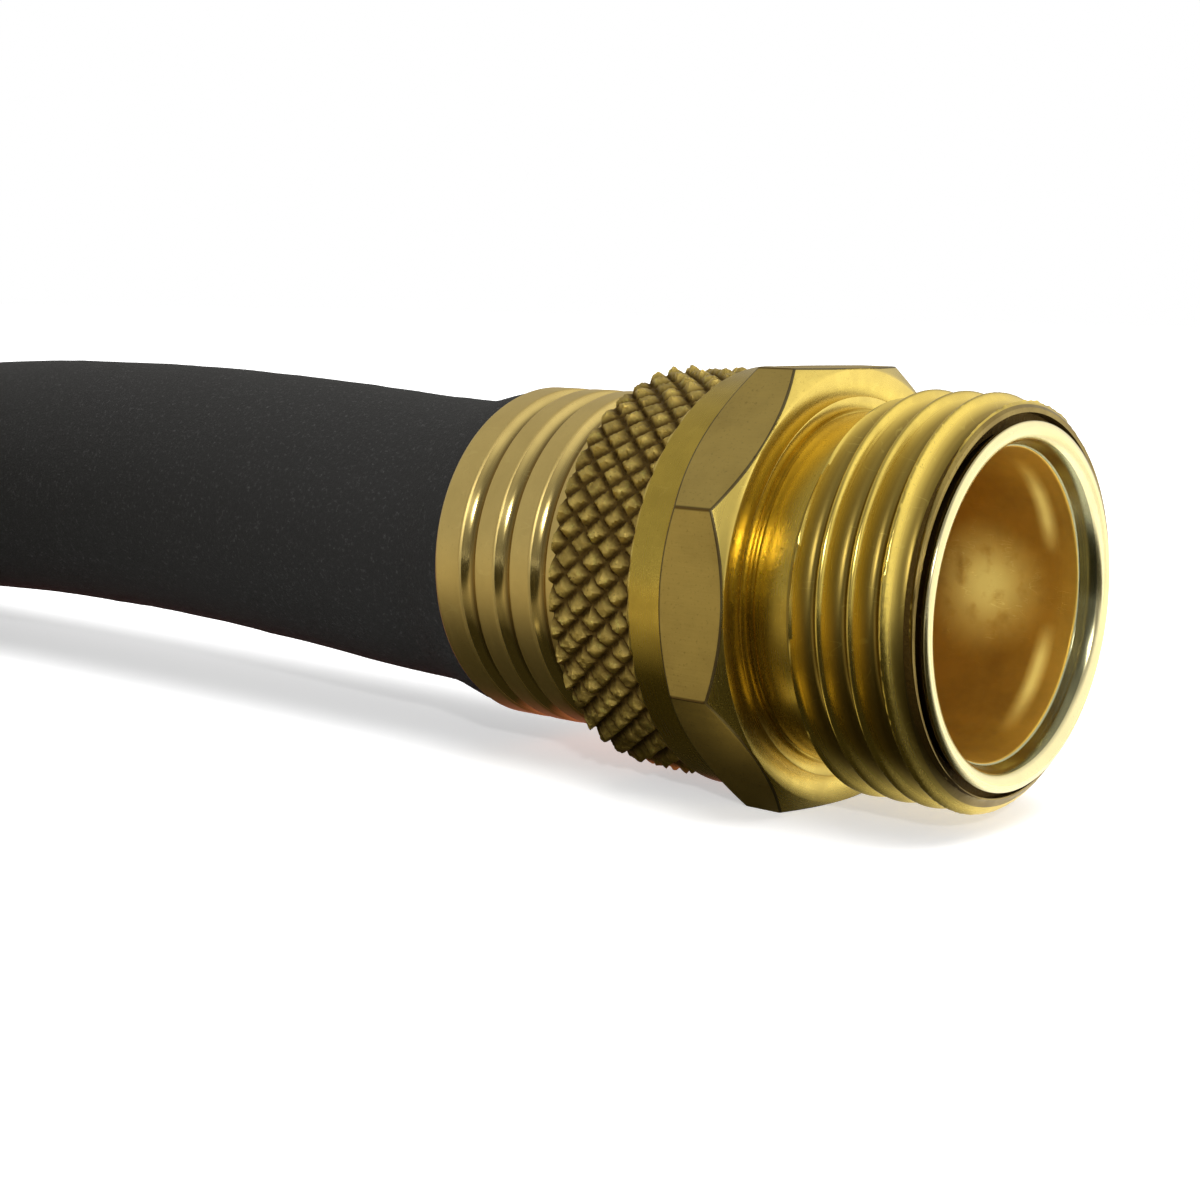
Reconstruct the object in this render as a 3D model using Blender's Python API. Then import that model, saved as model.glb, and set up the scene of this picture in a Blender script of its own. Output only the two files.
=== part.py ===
"""Soaker hose: brass outlet fitting, one long rubber hose put away in a coil, brass swivel inlet.

Metres, +Z up. The outlet fitting's axis lies along X and its mouth faces +X. The floor is z = 0, and the
origin is under the middle of the outlet fitting, which rests on one flat of its octagon.
"""

import math

import bmesh
import bpy
from mathutils import Matrix, Vector

MM = 0.001
TAU = 2.0 * math.pi

# Clearance that pieces which touch on the real object keep here
SEAT_GAP = 0.3 * MM

# Hose, and how its ends are squeezed between an insert and a ferrule
HOSE_RADIUS = 10.75 * MM
HOSE_BORE_RADIUS = 7.95 * MM
INSERT_EXPANSION = 0.85 * MM
INSERT_WALL = 0.6 * MM
CLAMPED_HOSE_WALL = 1.5 * MM
FERRULE_WALL = 0.6 * MM
FERRULE_RIDGE_HEIGHT = 0.62 * MM
FERRULE_MOUTH_BAND = 2.7 * MM
FERRULE_RIDGE_WIDTH = 1.7 * MM
FERRULE_GROOVE_WIDTH = 1.5 * MM
FERRULE_RIDGE_SLOPE = 0.45 * MM
FERRULE_RIDGES = 2
FERRULE_SHOWN = 12.3 * MM
FERRULE_HIDDEN = 4.9 * MM
INSERT_SETBACK = 1.0 * MM

# Garden hose thread, 3/4-11.5 NH
THREAD_PITCH = 25.4 / 11.5 * MM
MALE_MAJOR_RADIUS = 13.4 * MM
MALE_THREAD_DEPTH = 1.35 * MM
FEMALE_MAJOR_CLEARANCE = 0.2 * MM
FEMALE_THREAD_DEPTH = 1.2 * MM
CREST_SHARE = 0.22
ROOT_SHARE = 0.16

# Outlet coupling, lengths along its axis from the mouth back, then radii
LIP_STAND = 0.5 * MM
MALE_THREAD_LENGTH = 9.2 * MM
NECK_LENGTH = 2.95 * MM
OCTAGON_LENGTH = 5.05 * MM
COLLAR_LENGTH = 2.7 * MM
KNURL_LENGTH = 6.8 * MM
NECK_RADIUS = 11.6 * MM
FRONT_RADIUS = 12.5 * MM
OUTLET_ACROSS_FLATS = 28.8 * MM
OUTLET_BARREL_WALL = 1.86 * MM
OUTLET_KNURL_DIAMONDS = 44
FACE_SETBACK = 0.1 * MM
KNURL_DEPTH = 0.6 * MM
KNURL_ROWS = 6
OCTAGON_CHAMFER_SLOPE = 0.88
RUNOUT_SLOPE = 1.5

# Rolled lip, funnel and wide chamber at the front of the outlet insert
LIP_OUTER_RADIUS = 11.66 * MM
LIP_INNER_RADIUS = 10.34 * MM
LIP_LENGTH = 1.0 * MM
LIP_ROUNDING = 0.4 * MM
FUNNEL_RADIUS = 10.2 * MM
FUNNEL_START = 1.5 * MM
FUNNEL_END = 2.8 * MM
NECK_WALL = 1.0 * MM
CHAMBER_END = 13.5 * MM
CHAMBER_TAPER = 1.3 * MM

# Inlet: swivel nut, washer, flow restrictor and the insert's flange, from the mouth back
NUT_ACROSS_FLATS = 31.8 * MM
NUT_BARREL_WALL = 2.7 * MM
NUT_KNURL_DIAMONDS = 48
NUT_OCTAGON_LENGTH = 7.2 * MM
NUT_COLLAR_LENGTH = 2.2 * MM
NUT_BACK_WALL = 1.8 * MM
FEMALE_THREAD_LENGTH = 9.2 * MM
FEMALE_LEAD_IN = 0.5 * MM
WASHER_RADIUS = 12.7 * MM
WASHER_BORE_RADIUS = 8.0 * MM
WASHER_THICKNESS = 3.2 * MM
RESTRICTOR_RADIUS = 12.4 * MM
RESTRICTOR_HOLE_RADIUS = 1.0 * MM
RESTRICTOR_THICKNESS = 1.6 * MM
FLANGE_RADIUS = 12.0 * MM
FLANGE_THICKNESS = 1.2 * MM

# Put-away coil: the hose spirals in along the floor, climbs a layer and spirals out again on top
COIL_TURNS = 8.5
COIL_POINTS_PER_TURN = 24
COIL_INNER_RADIUS = 89.2 * MM
COIL_TURN_GAP = 0.8 * MM
COIL_ENTRY_X = -172.0 * MM
COIL_ENTRY_ANGLE = math.radians(90.0)
CLIMB_HALF_SPAN = 0.25
REVERSE_HALF_SPAN = 0.1

# Straps that hold the coil
TIE_ANGLES = [math.radians(angle) for angle in (40.0, 150.0, 235.0)]
TIE_THICKNESS = 1.2 * MM
TIE_WIDTH = 16.0 * MM
TIE_CLEARANCE = 0.5 * MM
TIE_CORNER_STEPS = 6

# Route of the free hose between the outlet ferrule and the coil: x and height of its centre line
RUN_ROUTE = [(-30.0, 14.6), (-45.0, 15.45), (-60.0, 16.0), (-80.0, 15.85), (-100.0, 14.75), (-120.0, 13.3)]
# Route of the free hose down from the coil: along from the last turn, sideways in under it, share of the drop
TAIL_ROUTE = [(50.0, 0.3, 0.06), (68.0, 1.2, 0.24), (86.0, 2.5, 0.5), (104.0, 3.8, 0.76), (122.0, 4.7, 0.94),
              (139.0, 5.0, 1.0), (152.0, 5.0, 1.0)]
ROUTE_SPACING = 2.0

# Facets
COLUMNS = 48
SLEEVE_COLUMNS = 32
THREAD_RINGS_PER_PITCH = 5

# Sizes that follow from those above
INSERT_RADIUS = HOSE_BORE_RADIUS + INSERT_EXPANSION
INSERT_BORE_RADIUS = INSERT_RADIUS - INSERT_WALL
STEM_HOLE_RADIUS = INSERT_RADIUS + SEAT_GAP
CHAMBER_SEAT_RADIUS = NECK_RADIUS - NECK_WALL
CHAMBER_OUTER_RADIUS = CHAMBER_SEAT_RADIUS - SEAT_GAP
CHAMBER_RADIUS = CHAMBER_OUTER_RADIUS - INSERT_WALL
CLAMPED_HOSE_RADIUS = STEM_HOLE_RADIUS + CLAMPED_HOSE_WALL
FERRULE_BORE_RADIUS = CLAMPED_HOSE_RADIUS + SEAT_GAP
FERRULE_GROOVE_RADIUS = FERRULE_BORE_RADIUS + FERRULE_WALL
FERRULE_RADIUS = FERRULE_GROOVE_RADIUS + FERRULE_RIDGE_HEIGHT
FERRULE_LENGTH = FERRULE_SHOWN + FERRULE_HIDDEN
SOCKET_RADIUS = FERRULE_RADIUS + SEAT_GAP
OUTLET_BARREL_RADIUS = SOCKET_RADIUS + OUTLET_BARREL_WALL

THREAD_BACK = -LIP_STAND - MALE_THREAD_LENGTH
FACE_X = THREAD_BACK - NECK_LENGTH
OCTAGON_BACK = FACE_X - OCTAGON_LENGTH
KNURL_FRONT = OCTAGON_BACK - COLLAR_LENGTH
KNURL_BACK = KNURL_FRONT - KNURL_LENGTH
SOCKET_FLOOR = KNURL_BACK + FERRULE_HIDDEN + SEAT_GAP
OUTLET_LENGTH = FERRULE_SHOWN - KNURL_BACK
OUTLET_MOUTH = Vector((OUTLET_LENGTH / 2.0, 0.0, OUTLET_ACROSS_FLATS / 2.0))

FEMALE_MAJOR_RADIUS = MALE_MAJOR_RADIUS + FEMALE_MAJOR_CLEARANCE
WASHER_SEAT_RADIUS = WASHER_RADIUS + SEAT_GAP
NUT_BARREL_RADIUS = WASHER_SEAT_RADIUS + NUT_BARREL_WALL
WASHER_FRONT = -FEMALE_THREAD_LENGTH - SEAT_GAP
RESTRICTOR_FRONT = WASHER_FRONT - WASHER_THICKNESS - SEAT_GAP
FLANGE_FRONT = RESTRICTOR_FRONT - RESTRICTOR_THICKNESS - SEAT_GAP
FLANGE_BACK = FLANGE_FRONT - FLANGE_THICKNESS
NUT_WALL_FRONT = FLANGE_BACK - SEAT_GAP
NUT_BACK = NUT_WALL_FRONT - NUT_BACK_WALL
INLET_FERRULE_FRONT = NUT_BACK - SEAT_GAP
INLET_LENGTH = FERRULE_LENGTH - INLET_FERRULE_FRONT

COIL_STEP = 2.0 * HOSE_RADIUS + COIL_TURN_GAP
COIL_HALF_TURNS = COIL_TURNS / 2.0
COIL_OUTER_RADIUS = COIL_INNER_RADIUS + COIL_STEP * COIL_HALF_TURNS
COIL_LOW_Z = TIE_THICKNESS + TIE_CLEARANCE + HOSE_RADIUS
COIL_CENTRE = Vector((COIL_ENTRY_X, -COIL_OUTER_RADIUS, 0.0))
COIL_END_ANGLE = COIL_ENTRY_ANGLE + TAU * COIL_TURNS

BRASS_GOLD = (0.45, 0.31, 0.075)
BRASS_PALE = (0.50, 0.42, 0.21)
RUBBER_BLACK = (0.022, 0.022, 0.024)


# ------------------------------------------------------------------ scene and materials

def clear_scene():
    for item in list(bpy.data.objects):
        bpy.data.objects.remove(item, do_unlink=True)


def material(name, colour, metallic, roughness):
    made = bpy.data.materials.new(name)
    made.use_nodes = True
    shader = made.node_tree.nodes["Principled BSDF"]
    shader.inputs["Base Color"].default_value = (*colour, 1.0)
    shader.inputs["Metallic"].default_value = metallic
    shader.inputs["Roughness"].default_value = roughness
    made.diffuse_color = (*colour, 1.0)
    return made


def place(name, data, colour, metallic=0.0, roughness=0.6, parent=None):
    piece = bpy.data.objects.new(name, data)
    piece.data.materials.append(material(name, colour, metallic, roughness))
    piece.parent = parent
    bpy.context.scene.collection.objects.link(piece)
    return piece


def empty(name, location, heading):
    marker = bpy.data.objects.new(name, None)
    marker.location = location
    marker.rotation_euler = (0.0, 0.0, heading)
    marker.empty_display_size = 0.02
    bpy.context.scene.collection.objects.link(marker)
    return marker


# ------------------------------------------------------------------ meshes made of loops

def circle(x, radius, count=COLUMNS):
    """Points round the X axis; x and radius are numbers, or functions of the angle."""
    points = []
    for column in range(count):
        angle = TAU * column / count
        along = x(angle) if callable(x) else x
        out = radius(angle) if callable(radius) else radius
        points.append(Vector((along, out * math.cos(angle), out * math.sin(angle))))
    return points


def axis_distance(vert):
    return math.hypot(vert.co.y, vert.co.z)


def fill_cell(bm, corners):
    """A flat cell is one face; any other is split along its lower diagonal, where a valley runs."""
    first, second, third, fourth = corners
    normal = (second.co - first.co).cross(fourth.co - first.co)
    if abs(normal.dot(third.co - first.co)) < 1e-7 * normal.length:
        bm.faces.new(corners)
    elif axis_distance(second) + axis_distance(fourth) < axis_distance(first) + axis_distance(third):
        bm.faces.new((first, second, fourth))
        bm.faces.new((second, third, fourth))
    else:
        bm.faces.new((first, second, third))
        bm.faces.new((first, third, fourth))


def fill_between(bm, near, far):
    """Faces between two loops that start at one angle, whatever their counts."""
    if len(near) == len(far):
        for index in range(len(near)):
            after = (index + 1) % len(near)
            fill_cell(bm, (near[index], near[after], far[after], far[index]))
        return
    here = there = 0
    while here < len(near) or there < len(far):
        near_vert = near[here % len(near)]
        far_vert = far[there % len(far)]
        if (here + 1) * len(far) <= (there + 1) * len(near):
            here += 1
            bm.faces.new((near_vert, near[here % len(near)], far_vert))
        else:
            there += 1
            bm.faces.new((near_vert, far[there % len(far)], far_vert))


def skin(name, loops, sharp_degrees=30.0):
    """A closed mesh through the loops in turn, the last joined to the first."""
    bm = bmesh.new()
    rows = [[bm.verts.new(point) for point in loop] for loop in loops]
    for row, following in zip(rows, rows[1:] + rows[:1]):
        fill_between(bm, row, following)
    bmesh.ops.recalc_face_normals(bm, faces=bm.faces)
    mesh = bpy.data.meshes.new(name)
    bm.to_mesh(mesh)
    bm.free()
    mesh.shade_smooth()
    mesh.set_sharp_from_angle(angle=math.radians(sharp_degrees))
    return mesh


def sleeve(name, outline, count=SLEEVE_COLUMNS):
    """A turned piece from a closed outline of (x, radius)."""
    return skin(name, [circle(x, radius, count) for x, radius in outline])


# ------------------------------------------------------------------ brass forms that repeat

def thread_height(x, angle):
    """0 in the root and 1 on the crest of a right-hand thread along X."""
    turn = (x / THREAD_PITCH - angle / TAU) % 1.0
    from_crest = min(turn, 1.0 - turn) - CREST_SHARE / 2.0
    flank = 0.5 - (CREST_SHARE + ROOT_SHARE) / 2.0
    return min(1.0, max(0.0, 1.0 - from_crest / flank))


def thread_stations(back, front):
    count = math.ceil((front - back) / THREAD_PITCH * THREAD_RINGS_PER_PITCH)
    return [back + (front - back) * step / count for step in range(count + 1)]


def octagon_radius(apothem):
    return lambda angle: apothem / math.cos((angle + math.pi / 8.0) % (math.pi / 4.0) - math.pi / 8.0)


def octagon_edge(x, circle_radius, apothem, direction):
    """Where the cone that starts at circle_radius on station x cuts the flats."""
    corner = octagon_radius(apothem)
    return lambda angle: x + direction * OCTAGON_CHAMFER_SLOPE * (corner(angle) - circle_radius)


def knurl_loops(back, front, radius, diamonds):
    """Pyramids in a diamond lattice: crests and crossings alternate round and along."""
    columns = 2 * diamonds
    loops = []
    for row in range(KNURL_ROWS + 1):
        inside = 0 < row < KNURL_ROWS
        x = back + (front - back) * row / KNURL_ROWS
        points = []
        for column in range(columns):
            crest = inside and (row + column) % 2 == 0
            out = radius if crest else radius - KNURL_DEPTH
            angle = TAU * column / columns
            points.append(Vector((x, out * math.cos(angle), out * math.sin(angle))))
        loops.append(points)
    return loops


def grip_loops(stations, barrel_radius, across_flats, diamonds):
    """Outer skin of a gripped brass piece: knurl, plain collar, octagon with turned chamfers."""
    knurl_back, knurl_front, octagon_back, face = stations
    apothem = across_flats / 2.0
    face_radius = apothem - FACE_SETBACK
    corner = octagon_radius(apothem)
    back_edge = octagon_edge(octagon_back, barrel_radius, apothem, 1.0)
    front_edge = octagon_edge(face, face_radius, apothem, -1.0)
    return knurl_loops(knurl_back, knurl_front, barrel_radius, diamonds) + [
        circle(knurl_front, barrel_radius),
        circle(octagon_back, barrel_radius),
        circle(back_edge, corner),
        circle(front_edge, corner),
        circle(face, face_radius),
    ]


def ferrule_outline(front):
    """Cup of thin brass, its mouth at the back: plain band, rolled ridges, turned-in front wall."""
    mouth = front - FERRULE_LENGTH
    outline = [(mouth, FERRULE_RADIUS)]
    station = mouth + FERRULE_MOUTH_BAND
    for groove in range(FERRULE_RIDGES + 1):
        last = groove == FERRULE_RIDGES
        groove_end = mouth + FERRULE_SHOWN if last else station + FERRULE_GROOVE_WIDTH
        outline += [
            (station, FERRULE_RADIUS),
            (station + FERRULE_RIDGE_SLOPE, FERRULE_GROOVE_RADIUS),
            (groove_end - FERRULE_RIDGE_SLOPE, FERRULE_GROOVE_RADIUS),
            (groove_end, FERRULE_RADIUS),
        ]
        station = groove_end + FERRULE_RIDGE_WIDTH
    return outline + [
        (front, FERRULE_RADIUS),
        (front, STEM_HOLE_RADIUS),
        (front - FERRULE_WALL, STEM_HOLE_RADIUS),
        (front - FERRULE_WALL, FERRULE_BORE_RADIUS),
        (mouth, FERRULE_BORE_RADIUS),
    ]


def clamped_hose_outline(ferrule_front):
    """The end of the hose, squeezed between the insert and the ferrule."""
    front = ferrule_front - FERRULE_WALL - SEAT_GAP
    back = ferrule_front - FERRULE_LENGTH
    return [
        (back, CLAMPED_HOSE_RADIUS),
        (front, CLAMPED_HOSE_RADIUS),
        (front, STEM_HOLE_RADIUS),
        (back, STEM_HOLE_RADIUS),
    ]


# ------------------------------------------------------------------ outlet fitting

def male_radius(x):
    """Radius round the ring at x: thread, cut down by the run-out and by the front chamfer."""
    runout = NECK_RADIUS + RUNOUT_SLOPE * (x - THREAD_BACK)
    chamfer = FRONT_RADIUS - LIP_STAND - x
    limit = min(runout, chamfer)
    root = MALE_MAJOR_RADIUS - MALE_THREAD_DEPTH
    return lambda angle: min(root + MALE_THREAD_DEPTH * thread_height(x, angle), limit)


def build_outlet_coupling(parent):
    recess_floor = -LIP_LENGTH - SEAT_GAP
    stations = (KNURL_BACK, KNURL_FRONT, OCTAGON_BACK, FACE_X)
    loops = grip_loops(stations, OUTLET_BARREL_RADIUS, OUTLET_ACROSS_FLATS, OUTLET_KNURL_DIAMONDS)
    loops.append(circle(FACE_X, NECK_RADIUS))
    loops += [circle(x, male_radius(x)) for x in thread_stations(THREAD_BACK, -LIP_STAND)]
    funnel_seat = FUNNEL_RADIUS + INSERT_WALL + SEAT_GAP
    bore = [
        (-LIP_STAND, LIP_OUTER_RADIUS + SEAT_GAP),
        (recess_floor, LIP_OUTER_RADIUS + SEAT_GAP),
        (recess_floor, funnel_seat),
        (-FUNNEL_START - SEAT_GAP, funnel_seat),
        (-FUNNEL_END - SEAT_GAP, CHAMBER_SEAT_RADIUS),
        (-CHAMBER_END - SEAT_GAP, CHAMBER_SEAT_RADIUS),
        (-CHAMBER_END - CHAMBER_TAPER - SEAT_GAP, STEM_HOLE_RADIUS),
        (SOCKET_FLOOR, STEM_HOLE_RADIUS),
        (SOCKET_FLOOR, SOCKET_RADIUS),
        (KNURL_BACK, SOCKET_RADIUS),
    ]
    loops += [circle(x, radius, SLEEVE_COLUMNS) for x, radius in bore]
    place("outlet_coupling", skin("outlet_coupling", loops), BRASS_GOLD, 1.0, 0.32, parent)


def build_outlet_insert(parent):
    """Thin tube with a rolled lip, a funnel and a wide chamber; behind that it is expanded inside the hose."""
    tail = KNURL_BACK - FERRULE_SHOWN + INSERT_SETBACK
    outline = [
        (tail, INSERT_RADIUS),
        (-CHAMBER_END - CHAMBER_TAPER, INSERT_RADIUS),
        (-CHAMBER_END, CHAMBER_OUTER_RADIUS),
        (-FUNNEL_END, CHAMBER_OUTER_RADIUS),
        (-FUNNEL_START, FUNNEL_RADIUS + INSERT_WALL),
        (-LIP_LENGTH, FUNNEL_RADIUS + INSERT_WALL),
        (-LIP_LENGTH, LIP_OUTER_RADIUS),
        (-LIP_ROUNDING, LIP_OUTER_RADIUS),
        (0.0, LIP_OUTER_RADIUS - LIP_ROUNDING),
        (0.0, LIP_INNER_RADIUS + LIP_ROUNDING),
        (-LIP_ROUNDING, LIP_INNER_RADIUS),
        (-FUNNEL_START + INSERT_WALL / 2.0, FUNNEL_RADIUS),
        (-FUNNEL_END + INSERT_WALL / 2.0, CHAMBER_RADIUS),
        (-CHAMBER_END + INSERT_WALL / 2.0, CHAMBER_RADIUS),
        (-CHAMBER_END - CHAMBER_TAPER + INSERT_WALL / 2.0, INSERT_BORE_RADIUS),
        (tail, INSERT_BORE_RADIUS),
    ]
    place("outlet_insert", sleeve("outlet_insert", outline), BRASS_PALE, 1.0, 0.22, parent)


def build_outlet():
    frame = empty("outlet_axis", OUTLET_MOUTH, 0.0)
    ferrule_front = KNURL_BACK + FERRULE_HIDDEN
    build_outlet_coupling(frame)
    build_outlet_insert(frame)
    place("outlet_ferrule", sleeve("outlet_ferrule", ferrule_outline(ferrule_front)),
          BRASS_PALE, 1.0, 0.25, frame)
    place("hose_end_outlet", sleeve("hose_end_outlet", clamped_hose_outline(ferrule_front)),
          RUBBER_BLACK, 0.0, 0.7, frame)


# ------------------------------------------------------------------ inlet fitting

def female_radius(x):
    """Radius of the nut's threaded wall at x, opened out by the lead-in at the mouth."""
    lead_in = FEMALE_MAJOR_RADIUS + FEMALE_LEAD_IN + x
    root = FEMALE_MAJOR_RADIUS - FEMALE_THREAD_DEPTH
    return lambda angle: max(root + FEMALE_THREAD_DEPTH * thread_height(x, angle), lead_in)


def build_swivel_nut(parent):
    octagon_back = -NUT_OCTAGON_LENGTH
    stations = (NUT_BACK, octagon_back - NUT_COLLAR_LENGTH, octagon_back, 0.0)
    loops = grip_loops(stations, NUT_BARREL_RADIUS, NUT_ACROSS_FLATS, NUT_KNURL_DIAMONDS)
    threaded = reversed(thread_stations(-FEMALE_THREAD_LENGTH, 0.0))
    loops += [circle(x, female_radius(x)) for x in threaded]
    bore = [
        (-FEMALE_THREAD_LENGTH - FERRULE_RIDGE_SLOPE, WASHER_SEAT_RADIUS),
        (NUT_WALL_FRONT, WASHER_SEAT_RADIUS),
        (NUT_WALL_FRONT, STEM_HOLE_RADIUS),
        (NUT_BACK, STEM_HOLE_RADIUS),
    ]
    loops += [circle(x, radius, SLEEVE_COLUMNS) for x, radius in bore]
    place("inlet_swivel_nut", skin("inlet_swivel_nut", loops), BRASS_GOLD, 1.0, 0.32, parent)


def ring_outline(front, thickness, radius, bore_radius):
    back = front - thickness
    return [(back, radius), (front, radius), (front, bore_radius), (back, bore_radius)]


def build_inlet_insert(parent):
    """Expanded tube whose flange holds the nut on and carries the washer's pressure."""
    tail = INLET_FERRULE_FRONT - FERRULE_LENGTH + INSERT_SETBACK
    outline = [
        (tail, INSERT_RADIUS),
        (FLANGE_BACK, INSERT_RADIUS),
        (FLANGE_BACK, FLANGE_RADIUS),
        (FLANGE_FRONT, FLANGE_RADIUS),
        (FLANGE_FRONT, INSERT_BORE_RADIUS),
        (tail, INSERT_BORE_RADIUS),
    ]
    place("inlet_insert", sleeve("inlet_insert", outline), BRASS_PALE, 1.0, 0.22, parent)


def build_inlet(mouth, heading):
    frame = empty("inlet_axis", mouth, heading)
    build_swivel_nut(frame)
    build_inlet_insert(frame)
    washer = ring_outline(WASHER_FRONT, WASHER_THICKNESS, WASHER_RADIUS, WASHER_BORE_RADIUS)
    restrictor = ring_outline(RESTRICTOR_FRONT, RESTRICTOR_THICKNESS, RESTRICTOR_RADIUS,
                              RESTRICTOR_HOLE_RADIUS)
    place("hose_washer", sleeve("hose_washer", washer), (0.03, 0.03, 0.03), 0.0, 0.55, frame)
    place("flow_restrictor", sleeve("flow_restrictor", restrictor), (0.55, 0.10, 0.05), 0.0, 0.4, frame)
    place("inlet_ferrule", sleeve("inlet_ferrule", ferrule_outline(INLET_FERRULE_FRONT)),
          BRASS_PALE, 1.0, 0.25, frame)
    place("hose_end_inlet", sleeve("hose_end_inlet", clamped_hose_outline(INLET_FERRULE_FRONT)),
          RUBBER_BLACK, 0.0, 0.7, frame)


# ------------------------------------------------------------------ hose

def coil_radius(turn):
    """Distance from the coil's centre line: in at a steady rate and out again, rounded where it reverses."""
    from_middle = abs(turn - COIL_HALF_TURNS)
    if from_middle < REVERSE_HALF_SPAN:
        from_middle = (from_middle ** 2 + REVERSE_HALF_SPAN ** 2) / (2.0 * REVERSE_HALF_SPAN)
    return COIL_INNER_RADIUS + COIL_STEP * from_middle


def coil_height(turn):
    share = (turn - COIL_HALF_TURNS) / (2.0 * CLIMB_HALF_SPAN) + 0.5
    share = min(1.0, max(0.0, share))
    return COIL_LOW_Z + COIL_STEP * share * share * (3.0 - 2.0 * share)


def around(angle, radius, height):
    return COIL_CENTRE + Vector((radius * math.cos(angle), radius * math.sin(angle), height))


def heading_at(angle):
    return Vector((-math.sin(angle), math.cos(angle), 0.0))


def coil_points():
    """The wound length, with a straight diameter of hose at each end."""
    steps = round(COIL_TURNS * COIL_POINTS_PER_TURN)
    turns = [COIL_TURNS * step / steps for step in range(steps + 1)]
    wound = [around(COIL_ENTRY_ANGLE + TAU * turn, coil_radius(turn), coil_height(turn)) for turn in turns]
    straight = 2.0 * HOSE_RADIUS
    before = wound[0] - straight * heading_at(COIL_ENTRY_ANGLE)
    after = wound[-1] + straight * heading_at(COIL_END_ANGLE)
    return [before] + wound + [after]


def least_turn_gap(points):
    """Least surface distance between stretches of the coil that aren't neighbours along it."""
    apart = COIL_POINTS_PER_TURN // 2
    least = min((points[one] - points[other]).length
                for one in range(len(points)) for other in range(one + apart, len(points)))
    return least - 2.0 * HOSE_RADIUS


def smooth_route(route, spacing):
    """Points about one spacing apart on a smooth curve through the route; its end stretches stay straight."""
    ends = [2.0 * route[0] - route[1]] + route + [2.0 * route[-1] - route[-2]]
    points = [route[0]]
    for before, start, end, after in zip(ends, ends[1:], ends[2:], ends[3:]):
        steps = max(1, round((end - start).length / spacing))
        for step in range(1, steps + 1):
            t = step / steps
            points.append(0.5 * (2.0 * start + (end - before) * t
                                 + (2.0 * before - 5.0 * start + 4.0 * end - after) * t ** 2
                                 + (3.0 * (start - end) + after - before) * t ** 3))
    return points


def hose_object(name, points, resolution):
    curve = bpy.data.curves.new(name, "CURVE")
    curve.dimensions = "3D"
    curve.bevel_depth = HOSE_RADIUS
    curve.bevel_resolution = resolution
    curve.use_fill_caps = True
    spline = curve.splines.new("POLY")
    spline.points.add(len(points) - 1)
    for slot, point in zip(spline.points, points):
        slot.co = (*point, 1.0)
    place(name, curve, RUBBER_BLACK, 0.0, 0.7)


def run_points(coil_start):
    """From the outlet ferrule's mouth along the floor to the coil, square to both."""
    out = Vector((-1.0, 0.0, 0.0))
    start = OUTLET_MOUTH + out * (OUTLET_LENGTH + SEAT_GAP)
    end = coil_start - out * SEAT_GAP
    middle = [Vector((x * MM, 0.0, z * MM)) for x, z in RUN_ROUTE]
    return [start] + middle + [end - out * HOSE_RADIUS, end]


def tail_points(coil_end):
    """From the coil's end down to the height of the inlet that lies beside the coil, square to both."""
    leaving = heading_at(COIL_END_ANGLE)
    inwards = COIL_CENTRE - around(COIL_END_ANGLE, 1.0, 0.0)
    last_turn = around(COIL_END_ANGLE, COIL_OUTER_RADIUS, coil_height(COIL_TURNS))
    drop = NUT_ACROSS_FLATS / 2.0 - last_turn.z
    start = coil_end + leaving * SEAT_GAP
    route = [
        last_turn + leaving * (along * MM) + inwards * (aside * MM) + Vector((0.0, 0.0, share * drop))
        for along, aside, share in TAIL_ROUTE
    ]
    return [start, start + leaving * HOSE_RADIUS] + route


def path_length(points):
    return sum((after - before).length for before, after in zip(points, points[1:]))


def build_hose():
    coil = coil_points()
    spacing = ROUTE_SPACING * 2.0 * HOSE_RADIUS
    run = smooth_route(run_points(coil[0]), spacing)
    tail = smooth_route(tail_points(coil[-1]), spacing)
    hose_object("hose_run", run, 2)
    hose_object("hose_coil", coil, 1)
    hose_object("hose_tail", tail, 2)
    free = path_length(run) + path_length(coil) + path_length(tail)
    clamped = 2.0 * (FERRULE_LENGTH - FERRULE_WALL)
    print(f"hose: {free:.3f} m free, {free + clamped:.3f} m with its clamped ends")
    print(f"hose_coil: least gap to itself {least_turn_gap(coil) / MM:.2f} mm")
    return tail[-1]


# ------------------------------------------------------------------ coil ties

def turns_crossing(angle):
    """How far along the coil, in turns, each pass through the given angle lies."""
    offset = ((angle - COIL_ENTRY_ANGLE) % TAU) / TAU
    passes = [offset + whole for whole in range(math.ceil(COIL_TURNS))]
    return [turn for turn in passes if turn <= COIL_TURNS]


def strap_loop(corners, offset, along):
    """Rounded outline at one offset outside the hull of the corner turns."""
    points = []
    for index, corner in enumerate(corners):
        before = corners[index - 1]
        after = corners[(index + 1) % len(corners)]
        start = math.atan2(corner[1] - before[1], corner[0] - before[0]) - math.pi / 2.0
        end = math.atan2(after[1] - corner[1], after[0] - corner[0]) - math.pi / 2.0
        sweep = (end - start) % TAU
        for step in range(TIE_CORNER_STEPS + 1):
            angle = start + sweep * step / TIE_CORNER_STEPS
            points.append(Vector((corner[0] + offset * math.cos(angle), along,
                                  corner[1] + offset * math.sin(angle))))
    return points


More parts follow.
